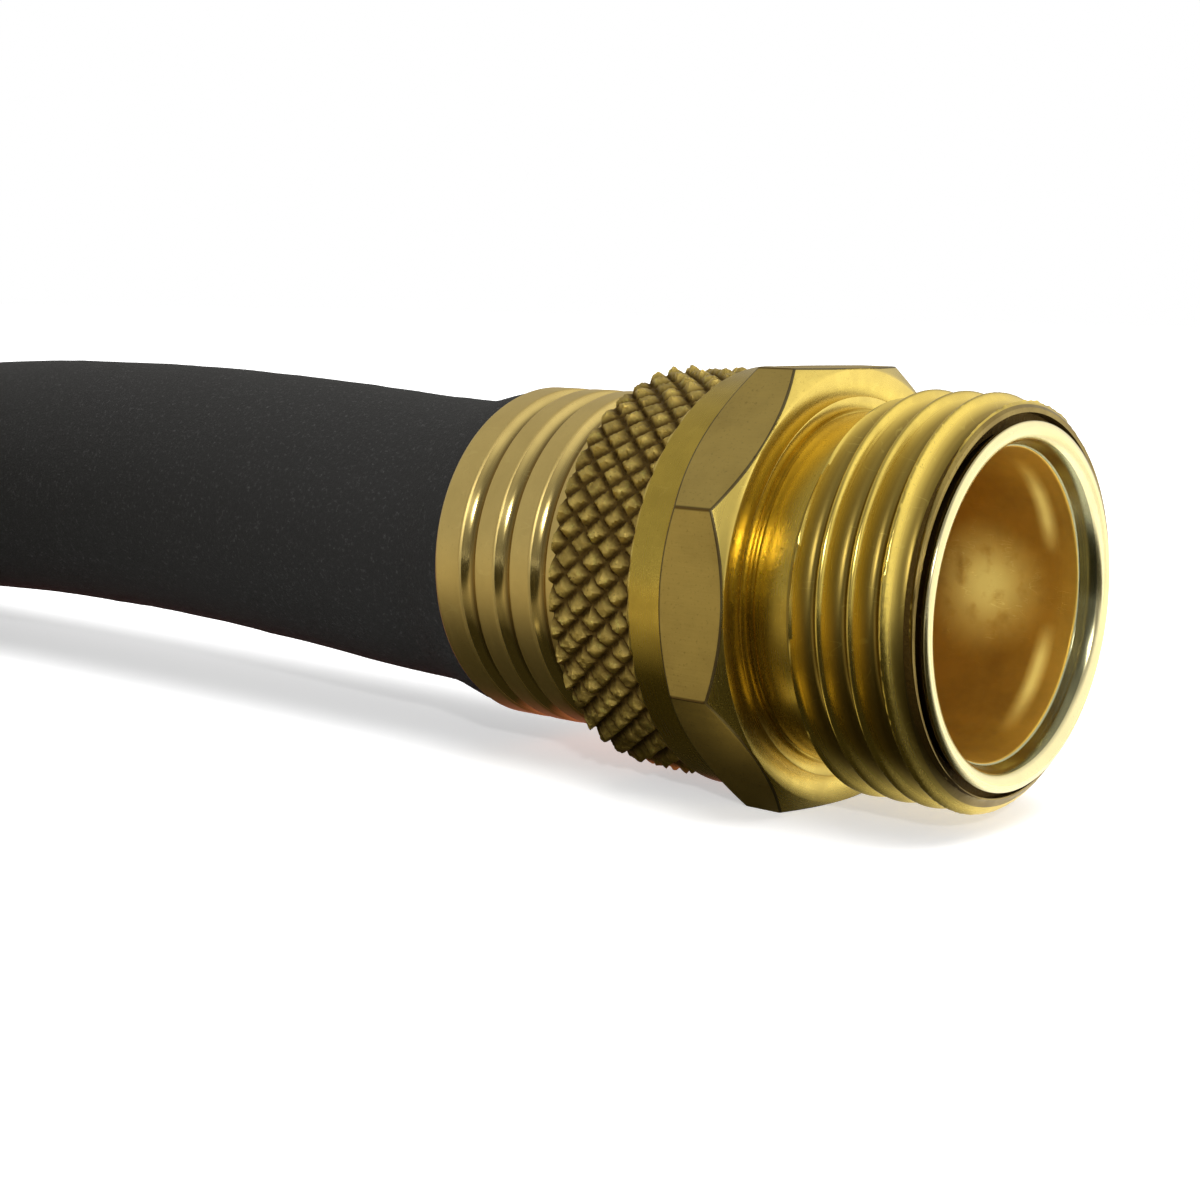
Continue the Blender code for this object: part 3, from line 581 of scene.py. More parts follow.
def skin(name, points, finishes, finish_of_row=0, joined=True):
    """Smooth skin over a grid of points. Columns join up; rows join up too, or both ends are capped."""
    sharp_edge = math.radians(40.0)
    rows, columns, _ = points.shape
    here = np.arange(rows * columns).reshape(rows, columns)
    beside = np.roll(here, -1, axis=1)
    quads = np.stack([here, beside, np.roll(beside, -1, axis=0), np.roll(here, -1, axis=0)], axis=2)
    finish_of_face = np.broadcast_to(np.reshape(finish_of_row, (-1, 1)), (rows, columns))
    if not joined:
        quads, finish_of_face = quads[:-1], finish_of_face[:-1]
    quads = quads.reshape(-1, 4)
    flat = points.reshape(-1, 3)
    first, second, third, fourth = (flat[quads[:, corner]] for corner in range(4))
    volume = np.einsum("ij,ij->", first, np.cross(second, third) + np.cross(third, fourth))
    if volume < 0.0:
        quads = quads[:, ::-1]
    faces = [list(quad) for quad in quads.tolist()]
    finish_of_face = finish_of_face.reshape(-1).tolist()
    if not joined:
        near, far = here[0].tolist(), here[-1].tolist()
        faces += [near[::-1], far] if volume > 0.0 else [near, far[::-1]]
        finish_of_face += [finish_of_face[0], finish_of_face[-1]]
    mesh = bpy.data.meshes.new(name)
    mesh.from_pydata(flat.tolist(), [], faces)
    for finish in finishes:
        mesh.materials.append(finish)
    mesh.polygons.foreach_set("material_index", finish_of_face)
    mesh.shade_smooth()
    mesh.set_sharp_from_angle(angle=sharp_edge)
    return link(name, mesh)


def turned(name, mouth, rows, columns, finishes):
    """Piece turned about X. Each row is x, radius and finish; x and radius may have a value per column."""
    angles = TAU * np.arange(columns) / columns
    points = np.zeros((len(rows), columns, 3))
    for points_of_row, (x, radius, _) in zip(points, rows):
        points_of_row[:, 0] = x
        points_of_row[:, 1] = radius * np.cos(angles)
        points_of_row[:, 2] = radius * np.sin(angles)
    made = skin(name, points, finishes, [finish for _, _, finish in rows])
    made.location = mouth
    return made


def eased(corners, steps=5):
    """Points of a closed outline whose corners are x, radius, how far each is rounded, and its finish."""
    spots = np.array([(x, radius) for x, radius, _, _ in corners])
    points = []
    for index, (x, radius, ease, finish) in enumerate(corners):
        here = spots[index]
        back = spots[index - 1] - here
        ahead = spots[(index + 1) % len(spots)] - here
        reach = min(ease, 0.48 * np.hypot(*back), 0.48 * np.hypot(*ahead))
        if reach <= 0.0:
            points.append((x, radius, finish))
            continue
        start = here + back * reach / np.hypot(*back)
        end = here + ahead * reach / np.hypot(*ahead)
        for step in range(steps + 1):
            share = step / steps
            spot = start * (1.0 - share) ** 2 + here * 2.0 * share * (1.0 - share) + end * share ** 2
            points.append((spot[0], spot[1], finish))
    return points


def soft_min(first, second, blend):
    """The lower of two values, rounded over the blend where they cross."""
    overlap = np.maximum(blend - np.abs(first - second), 0.0) / blend
    return np.minimum(first, second) - overlap ** 2 * blend / 4.0


def dress(piece, body, slot, *nodes):
    """The piece moves with its body and stands for its nodes. The slot is not used."""
    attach(piece, body)
    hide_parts(*nodes)
    return piece


# ------------------------------------------------------------------ brass forms that repeat

def thread_height(x, angles, pitch):
    """0 in the root and 1 on the crest of a right-hand thread, with hollow flanks and a narrow crest."""
    crest_share = 0.12
    turn = (x / pitch - angles / TAU + 0.5) % 1.0
    from_crest = np.minimum(turn, 1.0 - turn)
    climb = (0.5 - from_crest) / (0.5 - crest_share / 2.0)
    return np.clip(soft_min(climb, 1.0, 0.12), 0.0, 1.0) ** 1.9


def knurl_rows(back, front, barrel, diamonds, sizes, angles):
    """Pyramids in a diamond lattice; their points differ a little, as pressed ones do."""
    rows_per_diamond = 12
    blunt_back, blunt_slope = 0.35 * MM, 1.2
    lengths = max(1, round((front - back) / sizes.knurl_pitch))
    steps = lengths * rows_per_diamond
    chance = np.random.default_rng(diamonds)
    caps = chance.uniform(0.42, 0.95, (diamonds, diamonds))
    leans = chance.uniform(0.60, 0.88, (2, diamonds, diamonds))
    around = diamonds * angles / TAU
    rows = []
    for step in range(steps + 1):
        along = lengths * step / steps
        climb, fall = around + along, around - along
        cell = (np.floor(climb).astype(int) % diamonds, np.floor(fall).astype(int) % diamonds)
        sides = [np.minimum(part / lean[cell], (1.0 - part) / (1.0 - lean[cell]))
                 for part, lean in zip((climb % 1.0, fall % 1.0), leans)]
        height = soft_min(np.minimum(*sides), caps[cell], 0.06) + chance.normal(0.0, 0.04, angles.size)
        x = back + (front - back) * step / steps
        edge = barrel - blunt_back + blunt_slope * (x - back)
        radius = np.minimum(barrel - sizes.knurl_depth * (1.0 - height), edge)
        rows.append((x, radius, KNURLED))
    nick = barrel - 0.30 * (barrel - rows[-1][1])
    rows.append((front + 0.03 * MM, nick - 0.03 * MM, KNURLED))
    rows.append((front + 0.10 * MM, nick, TURNED))
    rows += [(front + beyond * MM, barrel, PLAIN) for beyond in (0.30, 0.34, 0.5)]
    return rows


def octagon_rows(back, face, barrel, across_flats, angles):
    """Eight bar flats between two turned chamfers; the rows follow the curved edges where they meet.

    An edge row is let in by a quarter of the ease, so that the edge is round.
    """
    slope = 0.88
    ease = 0.09 * MM
    apothem = across_flats / 2.0
    face_radius = apothem - 0.1 * MM
    corner = apothem / np.cos((angles + TAU / 16.0) % (TAU / 8.0) - TAU / 16.0)
    back_edge = back + slope * (corner - barrel)
    front_edge = face - slope * (corner - face_radius)
    rows = [(back, barrel, TURNED)]
    for share in (0.35, 0.7):
        rows.append((back + share * (back_edge - back), barrel + share * (corner - barrel), TURNED))
    # The EDGE rows carry painted shade over the rounded edge.
    rows.append((back_edge - ease, corner - ease / slope, EDGE))
    rows.append((back_edge, corner - 0.25 * ease, EDGE))
    rows.append((back_edge + ease, corner, BAR))
    for share in np.linspace(0.0, 1.0, 14)[1:-1]:
        rows.append((back_edge + share * (front_edge - back_edge), corner, BAR))
    rows.append((front_edge - ease, corner, EDGE))
    rows.append((front_edge, corner - 0.25 * ease, EDGE))
    rows.append((front_edge + ease, corner - ease / slope, TURNED))
    for share in (0.7, 0.35):
        radius = face_radius + share * (corner - face_radius)
        rows.append((face - share * (face - front_edge), radius, TURNED))
    rows.append((face - 0.04 * MM, face_radius + 0.04 * MM, TURNED))
    rows.append((face, face_radius - 0.05 * MM, TURNED))
    return rows


def ferrule_rows(front, sizes):
    """Cup of thin brass with a plain band at its mouth, rolled grooves and ridges, and a turned-in front."""
    mouth = front - FERRULE_LENGTH
    ridge = sizes.ferrule_ridge
    depth = ridge - sizes.ferrule_groove
    half_groove, row_spacing = 0.82 * MM, 0.08 * MM
    rows = [(mouth + 0.02 * MM, FERRULE_BORE + 0.1 * MM, WALL), (mouth, FERRULE_BORE + 0.25 * MM, BAND)]
    rows += [(mouth, ridge - 0.22 * MM, BAND), (mouth + 0.08 * MM, ridge - 0.08 * MM, BAND)]
    for along in np.arange(0.25 * MM, FERRULE_LENGTH - 0.4 * MM, row_spacing):
        reach = min(abs(along - groove * MM) for groove in FERRULE_GROOVES) / half_groove
        rolled = math.cos(math.pi / 2.0 * min(1.0, reach)) ** 1.25
        rows.append((mouth + along, ridge - depth * rolled, WALL if rolled > 0.12 else BAND))
    rows += [
        (front - 0.25 * MM, ridge - 0.05 * MM, WALL), (front, ridge - 0.35 * MM, WALL),
        (front, STEM_HOLE, WALL), (front - INSERT_WALL, STEM_HOLE, WALL),
        (front - INSERT_WALL, FERRULE_BORE, WALL), (mouth + 0.15 * MM, FERRULE_BORE, WALL),
    ]
    return rows


def clamped_rows(ferrule_front):
    """End of the hose between insert and ferrule."""
    front = ferrule_front - 0.9 * MM
    back = ferrule_front - FERRULE_LENGTH + 0.8 * MM
    return eased([
        (back, CLAMPED_HOSE, 0.1 * MM, WALL),
        (front, CLAMPED_HOSE, 0.4 * MM, WALL),
        (front, STEM_HOLE, 0.2 * MM, WALL),
        (back, STEM_HOLE, 0.1 * MM, WALL),
    ])


class SOAKER_OT_outlet(bpy.types.Operator):
    """Outlet coupling, its insert and its ferrule"""
    bl_idname = "soaker.outlet"
    bl_label = "Make outlet fitting"

    def execute(self, context):
        settings = context.scene.soaker_hose
        sizes, finishes = settings.brass, settings.finishes
        residue_and_shade = finishes.residue_and_shade
        barrel = sizes.outlet_barrel
        columns = 12 * sizes.outlet_diamonds
        angles = TAU * np.arange(columns) / columns
        rows = [(KNURL_BACK, SOCKET, TURNED), (KNURL_BACK, barrel - 1.0 * MM, TURNED)]
        rows += knurl_rows(KNURL_BACK, KNURL_FRONT, barrel, sizes.outlet_diamonds, sizes, angles)
        rows += octagon_rows(OCTAGON_BACK, FACE, barrel, sizes.outlet_flats, angles)
        rows += self.neck_rows()
        rows += self.thread_rows(sizes, angles)
        rows += self.bore_rows()
        # Painted shade in the thread's roots, with some residue.
        thread_hollow = (sizes.male_radius - 0.8 * sizes.male_depth, sizes.male_radius - 0.35 * MM, 0.65)
        body_finishes = turned_finishes("brass", settings, sizes.outlet_flats, barrel, thread_hollow) + [
            # Painted shade along the octagon's rounded edges.
            brass("brass_edge", finishes.edge_brass, residue_and_shade, roughness=0.45, stain=0.6),
            brass("brass_plain", finishes.plain_brass, residue_and_shade, roughness=0.24,
                  ring_scale=FINE_RINGS, ring_depth=POLISHED),
            # Painted shade on the nose, in the gap behind the lip.
            brass("brass_nose", finishes.nose_shade_brass, residue_and_shade, roughness=0.30,
                  ring_scale=FINE_RINGS, ring_depth=CUT, stain=0.6),
        ]
        coupling = turned("outlet_coupling_body", OUTLET_MOUTH, rows, columns, body_finishes)
        dress(coupling, "hose", "machined_brass", "outlet_coupling")
        # Painted shade in the ferrule's rolled grooves.
        groove_hollow = (sizes.ferrule_groove, sizes.ferrule_groove + 0.12 * MM, 0.75)
        drawn = brass("brass_drawn", finishes.drawn_brass, residue_and_shade, roughness=0.15,
                      ring_scale=SHEET_RINGS, ring_depth=DRAWN, hollow=groove_hollow, stain=0.15)
        satin = brass("brass_satin", finishes.drawn_brass, residue_and_shade, roughness=0.45,
                      ring_scale=SATIN_RINGS, ring_depth=BURNISHED, stain=0.1)
        # The chamber's wall carries a painted highlight patch and arcs.
        bore = bore_material("brass_bore", finishes.bore_brass, residue_and_shade, finishes.painted_highlight_brass)
        lip = brass("brass_lip", finishes.lip_brass, residue_and_shade, roughness=0.20,
                    ring_scale=SHEET_RINGS, ring_depth=BURNISHED, stain=0.08)
        # Painted reflection: the dark olive band inside the lip.
        funnel = brass("brass_funnel", finishes.funnel_reflection_brass, residue_and_shade, roughness=0.20,
                       ring_scale=SHEET_RINGS, ring_depth=BURNISHED, stain=0.2)
        insert = turned("outlet_insert_tube", OUTLET_MOUTH, self.insert_rows(), 256,
                        [drawn, bore, lip, funnel])
        dress(insert, "hose", "drawn_brass", "outlet_insert")
        ferrule = turned("outlet_ferrule_cup", OUTLET_MOUTH, ferrule_rows(OUTLET_FERRULE_FRONT, sizes), 256,
                         [drawn, bore, lip, satin])
        dress(ferrule, "hose", "drawn_brass", "outlet_ferrule")
        rubber = soft_material("rubber_clamped", finishes.rubber, finishes.rubber_speck, roughness=0.82,
                               scale=5200.0, depth=0.05 * MM, gloss=0.2)
        clamped = turned("hose_end_outlet_rubber", OUTLET_MOUTH, clamped_rows(OUTLET_FERRULE_FRONT), 96,
                         [rubber])
        dress(clamped, "hose", "hose_rubber", "hose_end_outlet")
        return {"FINISHED"}

    def neck_rows(self):
        """Face of the octagon with its faint ring, and the relief where the neck leaves it."""
        ring = 12.55 * MM
        return [
            (FACE, 13.4 * MM, TURNED), (FACE, ring + 0.06 * MM, TURNED),
            (FACE - 0.04 * MM, ring, TURNED), (FACE - 0.01 * MM, ring - 0.06 * MM, TURNED),
            (FACE - 0.01 * MM, NECK + 0.18 * MM, PLAIN), (FACE - 0.06 * MM, NECK + 0.02 * MM, PLAIN),
            (FACE - 0.02 * MM, NECK - 0.10 * MM, PLAIN), (FACE + 0.15 * MM, NECK - 0.12 * MM, PLAIN),
            (FACE + 0.28 * MM, NECK - 0.03 * MM, PLAIN), (FACE + 0.40 * MM, NECK, PLAIN),
            (FACE + 1.4 * MM, NECK, PLAIN),
        ]

    def thread_rows(self, sizes, angles):
        """Thread that grows out of the neck, and ends in a torn burr and the nose behind the lip, which is
        painted dark as shade.
        """
        front = -LIP_STAND
        steps = math.ceil((front - THREAD_BACK) / sizes.thread_pitch * THREAD_ROWS_PER_PITCH)
        root = sizes.male_radius - sizes.male_depth
        chance = np.random.default_rng(5)
        nose, burr, half_burr = -1.35 * MM, -0.88 * MM, 0.13 * MM
        tearing_back, tearing_reach, tear = 3.4 * MM, 2.0 * MM, 0.016 * MM
        raggedness = sum(np.sin(lobes * angles + phase) for lobes, phase in
                         zip((7, 19, 43, 97), chance.uniform(0.0, TAU, 4)))
        burr_height = np.clip(0.05 + 0.035 * raggedness, 0.0, 0.16) * MM
        rows = [(THREAD_BACK - 0.2 * MM, NECK, THREADED)]
        for step in range(steps + 1):
            x = THREAD_BACK + (front - THREAD_BACK) * step / steps
            runout = NECK + 1.5 * (x - THREAD_BACK)
            chamfer = FRONT_LAND + front - x
            near_mouth = np.clip((x + tearing_back) / tearing_reach, 0.0, 1.0)
            torn = near_mouth * chance.normal(0.0, tear, angles.size)
            height = thread_height(x, angles, sizes.thread_pitch)
            radius = root + sizes.male_depth * height + torn * height ** 4
            radius = soft_min(soft_min(radius, runout, 0.15 * MM), chamfer, 0.08 * MM)
            from_burr = abs(x - burr) / half_burr
            radius = radius + burr_height * max(0.0, 1.0 - from_burr)
            rows.append((x, radius, THREADED if x < nose or from_burr < 0.8 else NOSE))
        return rows

    def bore_rows(self):
        """Seat that leaves a gap round the insert, down to the socket that takes hose and ferrule."""
        gap = SEAT_GAP
        seat = FUNNEL + INSERT_WALL + gap
        chamber_seat = CHAMBER_OUTER + gap
        return [
            (-LIP_STAND, LIP_RECESS, KNURLED), (LIP_SHOULDER - gap, LIP_RECESS, KNURLED),
            (LIP_SHOULDER - gap, seat, TURNED), (FUNNEL_BACK - gap, seat, TURNED),
            (CHAMBER_FRONT - gap, chamber_seat, TURNED), (CHAMBER_END - gap, chamber_seat, TURNED),
            (CHAMBER_END - CHAMBER_TAPER - gap, STEM_HOLE, TURNED), (SOCKET_FLOOR, STEM_HOLE, TURNED),
            (SOCKET_FLOOR, SOCKET, TURNED),
        ]

    def insert_rows(self):
        """Thin tube with a rolled lip, a short step behind it and a wide chamber."""
        wall = INSERT_WALL
        inside = wall / 2.0
        return eased([
            (OUTLET_INSERT_TAIL, INSERT_OUTER, 0.1 * MM, WALL),
            (CHAMBER_END - CHAMBER_TAPER, INSERT_OUTER, 0.3 * MM, WALL),
            (CHAMBER_END, CHAMBER_OUTER, 0.3 * MM, WALL),
            (CHAMBER_FRONT, CHAMBER_OUTER, 0.3 * MM, WALL),
            (FUNNEL_BACK, FUNNEL + wall, 0.3 * MM, WALL),
            (-0.55 * MM, FUNNEL + wall, 0.1 * MM, WALL),
            (-0.50 * MM, LIP_OUTER - 0.1 * MM, 0.1 * MM, LIP),
            (-0.12 * MM, LIP_OUTER, 0.32 * MM, LIP),
            (0.10 * MM, 11.2 * MM, 0.45 * MM, LIP),
            (-0.16 * MM, 10.6 * MM, 0.40 * MM, LIP),
            (-0.65 * MM, 10.32 * MM, 0.30 * MM, BAND),
            (FUNNEL_BACK, 10.1 * MM, 0.06 * MM, BAND),
            (-1.58 * MM, 9.92 * MM, 0.08 * MM, BORE),
            (-3.0 * MM, CHAMBER, 0.6 * MM, BORE),
            (CHAMBER_END + inside, CHAMBER, 0.6 * MM, BORE),
            (CHAMBER_END - CHAMBER_TAPER + inside, INSERT_BORE, 0.6 * MM, BORE),
            (OUTLET_INSERT_TAIL, INSERT_BORE, 0.1 * MM, WALL),
        ], 8)


class SOAKER_OT_inlet(bpy.types.Operator):
    """Swivel nut, inlet insert and inlet ferrule"""
    bl_idname = "soaker.inlet"
    bl_label = "Make inlet fitting"

    def execute(self, context):
        settings = context.scene.soaker_hose
        sizes = settings.brass
        barrel = sizes.nut_barrel
        materials = bpy.data.materials
        columns = 12 * sizes.nut_diamonds
        angles = TAU * np.arange(columns) / columns
        rows = [(NUT_BACK, STEM_HOLE, TURNED), (NUT_BACK, barrel - 1.0 * MM, TURNED)]
        rows += knurl_rows(NUT_BACK, NUT_KNURL_FRONT, barrel, sizes.nut_diamonds, sizes, angles)
        rows += octagon_rows(NUT_OCTAGON_BACK, 0.0, barrel, sizes.nut_flats, angles)
        rows += self.thread_rows(sizes, angles)
        rows += [
            (NUT_THREAD_BACK - 0.45 * MM, WASHER_SEAT, TURNED), (NUT_WALL_FRONT, WASHER_SEAT, TURNED),
            (NUT_WALL_FRONT, STEM_HOLE, TURNED),
        ]
        # Painted shade in the nut thread's grooves, with some residue.
        thread_hollow = (sizes.female_radius, sizes.female_radius - sizes.female_depth, 0.45)
        nut_finishes = turned_finishes("nut", settings, sizes.nut_flats, barrel, thread_hollow)
        nut_finishes += [materials["brass_edge"], materials["brass_plain"]]
        nut = turned("inlet_swivel_nut_body", INLET_MOUTH, rows, columns, nut_finishes)
        dress(nut, "swivel_nut", "machined_brass", "inlet_swivel_nut")
        sheet = [materials[name] for name in ("brass_drawn", "brass_bore", "brass_lip", "brass_satin")]
        insert = turned("inlet_insert_tube", INLET_MOUTH, self.insert_rows(), 160, sheet)
        dress(insert, "hose", "drawn_brass", "inlet_insert")
        ferrule = turned("inlet_ferrule_cup", INLET_MOUTH, ferrule_rows(INLET_FERRULE_FRONT, sizes), 256,
                         sheet)
        dress(ferrule, "hose", "drawn_brass", "inlet_ferrule")
        clamped = turned("hose_end_inlet_rubber", INLET_MOUTH, clamped_rows(INLET_FERRULE_FRONT), 96,
                         [materials["rubber_clamped"]])
        dress(clamped, "hose", "hose_rubber", "hose_end_inlet")
        return {"FINISHED"}

    def thread_rows(self, sizes, angles):
        """Thread in the nut's wall, opened out at the mouth."""
        steps = math.ceil(-NUT_THREAD_BACK / sizes.thread_pitch * THREAD_ROWS_PER_PITCH)
        inner = sizes.female_radius - sizes.female_depth
        rows = [(0.0, 14.6 * MM, TURNED)]
        for step in range(steps + 1):
            x = NUT_THREAD_BACK * step / steps
            lead_in = sizes.female_radius + 0.5 * MM + x
            radius = inner + sizes.female_depth * thread_height(x, angles, sizes.thread_pitch)
            rows.append((x, -soft_min(-radius, -lead_in * np.ones_like(radius), 0.08 * MM), THREADED))
        return rows

    def insert_rows(self):
        """Tube whose flange holds the nut on and backs the washer."""
        return eased([
            (INLET_INSERT_TAIL, INSERT_OUTER, 0.1 * MM, WALL),
            (FLANGE_BACK, INSERT_OUTER, 0.2 * MM, WALL),
            (FLANGE_BACK, 12.0 * MM, 0.2 * MM, WALL),
            (FLANGE_FRONT, 12.0 * MM, 0.3 * MM, WALL),
            (FLANGE_FRONT, INSERT_BORE, 0.3 * MM, BORE),
            (INLET_INSERT_TAIL, INSERT_BORE, 0.1 * MM, BORE),
        ])


class SOAKER_OT_seals(bpy.types.Operator):
    """Hose washer and flow restrictor in the nut"""
    bl_idname = "soaker.seals"
    bl_label = "Make washer and restrictor"

    def execute(self, context):
        finishes = context.scene.soaker_hose.finishes
        washer_rubber = soft_material("rubber_washer", finishes.washer, finishes.rubber_speck,
                                      roughness=0.55, scale=9000.0, depth=0.01 * MM, crumbs=0.4)
        washer = turned("hose_washer_ring", INLET_MOUTH, self.washer_rows(), 160, [washer_rubber])
        dress(washer, "hose", "washer_rubber", "hose_washer")
        pale = tuple(min(1.0, value * 1.15) for value in finishes.restrictor)
        plastic = soft_material("plastic_restrictor", finishes.restrictor, pale,
                                roughness=0.42, scale=4000.0, depth=0.004 * MM, crumbs=0.5)
        restrictor = turned("flow_restrictor_disc", INLET_MOUTH, self.restrictor_rows(), 160, [plastic])
        dress(restrictor, "hose", "restrictor_plastic", "flow_restrictor")
        return {"FINISHED"}

    def washer_rows(self):
        """Flat ring with a shallow sealing groove on its front and a moulded line round its edge."""
        back = WASHER_FRONT - 3.2 * MM
        middle = (WASHER_FRONT + back) / 2.0
        groove = WASHER_FRONT - 0.25 * MM
        outer, inner = 12.7 * MM, 8.0 * MM
        return eased([
            (back, outer, 0.3 * MM, WALL), (middle - 0.12 * MM, outer, 0.05 * MM, WALL),
            (middle, outer + 0.12 * MM, 0.05 * MM, WALL), (middle + 0.12 * MM, outer, 0.05 * MM, WALL),
            (WASHER_FRONT, outer, 0.3 * MM, WALL), (WASHER_FRONT, 11.0 * MM, 0.15 * MM, WALL),
            (groove, 10.7 * MM, 0.15 * MM, WALL), (groove, 9.9 * MM, 0.15 * MM, WALL),
            (WASHER_FRONT, 9.6 * MM, 0.15 * MM, WALL), (WASHER_FRONT, inner, 0.3 * MM, WALL),
            (back, inner, 0.3 * MM, WALL),
        ], 4)

    def restrictor_rows(self):
        """Disc with a raised boss round its small metering hole."""
        back = RESTRICTOR_FRONT - 1.6 * MM
        dish = RESTRICTOR_FRONT - 0.4 * MM
        outer, hole = 12.4 * MM, 1.0 * MM
        return eased([
            (back, outer, 0.2 * MM, WALL), (RESTRICTOR_FRONT, outer, 0.3 * MM, WALL),
            (RESTRICTOR_FRONT, 7.6 * MM, 0.2 * MM, WALL), (dish, 7.2 * MM, 0.2 * MM, WALL),
            (dish, 2.6 * MM, 0.2 * MM, WALL), (RESTRICTOR_FRONT, 2.2 * MM, 0.2 * MM, WALL),
            (RESTRICTOR_FRONT, hole, 0.25 * MM, WALL), (back, hole, 0.2 * MM, WALL),
        ], 4)


# ------------------------------------------------------------------ hose

def hose_pitch(sizes):
    """Distance between the middles of two turns of the coil."""
    return 2.0 * sizes.radius + COIL_TURN_GAP


def coil_radius(turn, step):
    """Distance from the coil's centre line: in at a steady rate and out again, rounded where it reverses."""
    from_middle = abs(turn - COIL_TURNS / 2.0)
    if from_middle < REVERSE_HALF_SPAN:
        from_middle = (from_middle ** 2 + REVERSE_HALF_SPAN ** 2) / (2.0 * REVERSE_HALF_SPAN)
    return COIL_INNER_RADIUS + step * from_middle


def coil_height(turn, step):
    """Low layer, then a smooth climb half way along the coil, then the high layer."""
    share = (turn - COIL_TURNS / 2.0) / (2.0 * CLIMB_HALF_SPAN) + 0.5
    share = min(1.0, max(0.0, share))
    return COIL_LOW_Z + step * share * share * (3.0 - 2.0 * share)


def coil_centre(step):
    return Vector((COIL_ENTRY_X, -coil_radius(0.0, step), 0.0))


def coil_point(turn, step):
    angle = COIL_ENTRY_ANGLE + TAU * turn
    radius = coil_radius(turn, step)
    out = Vector((radius * math.cos(angle), radius * math.sin(angle), coil_height(turn, step)))
    return coil_centre(step) + out


def smooth_route(route, spacing):
    """Points about one spacing apart on a smooth curve through the route; its end stretches stay straight."""
    ends = [2.0 * route[0] - route[1]] + route + [2.0 * route[-1] - route[-2]]
    points = [route[0]]
    for before, start, end, after in zip(ends, ends[1:], ends[2:], ends[3:]):
        steps = max(1, round((end - start).length / spacing))
        for step in range(1, steps + 1):
            t = step / steps
            points.append(0.5 * (2.0 * start + (end - before) * t
                                 + (2.0 * before - 5.0 * start + 4.0 * end - after) * t ** 2
                                 + (3.0 * (start - end) + after - before) * t ** 3))
    return points


def run_route(sizes, step):
    """From the outlet ferrule's mouth along the floor to the coil."""
    coil_start = coil_point(0.0, step)
    out = Vector((-1.0, 0.0, 0.0))
    start = OUTLET_MOUTH + out * (OUTLET_LENGTH - SEAT_GAP)
    middle = [Vector((x * MM, 0.0, z * MM)) for x, z in RUN_ROUTE]
    return [start] + middle + [coil_start - out * (STRAIGHT_LEAD * sizes.radius), coil_start]


def tail_route(sizes, step):
    """From the coil's end down to the height of the inlet."""
    last_turn = coil_point(COIL_TURNS, step)
    drop = INLET_MOUTH.z - last_turn.z
    ahead, aside = Vector((1.0, 0.0, 0.0)), Vector((0.0, 1.0, 0.0))
    route = [last_turn + ahead * (along * MM) + aside * (out * MM) + Vector((0.0, 0.0, share * drop))
             for along, out, share in TAIL_ROUTE]
    route.append(route[-1] + ahead * (2.0 * SEAT_GAP))
    return [last_turn, last_turn + ahead * (STRAIGHT_LEAD * sizes.radius)] + route


def hose_path(sizes):
    """The whole free hose as one run of points: out of the ferrule, round the coil and on to the inlet."""
    step = hose_pitch(sizes)
    run = smooth_route(run_route(sizes, step), sizes.ring_spacing)
    tail = smooth_route(tail_route(sizes, step), sizes.ring_spacing)
    wound = []
    turn = 0.0
    while turn < COIL_TURNS:
        wound.append(coil_point(turn, step))
        turn += sizes.coil_ring_spacing / (TAU * coil_radius(turn, step))
    return np.array([tuple(point) for point in run[:-1] + wound + tail])


def tube_rings(path, radii, columns):
    """Rings square to a path that stays near the level; radii has one row for each ring."""
    ways = np.gradient(path, axis=0)
    ways /= np.linalg.norm(ways, axis=1)[:, None]
    sides = np.cross(ways, (0.0, 0.0, 1.0))
    sides /= np.linalg.norm(sides, axis=1)[:, None]
    tops = np.cross(sides, ways)
    angles = TAU * np.arange(columns) / columns
    return (path[:, None] + radii[:, :, None] * (np.cos(angles)[None, :, None] * sides[:, None]
                                                 + np.sin(angles)[None, :, None] * tops[:, None]))


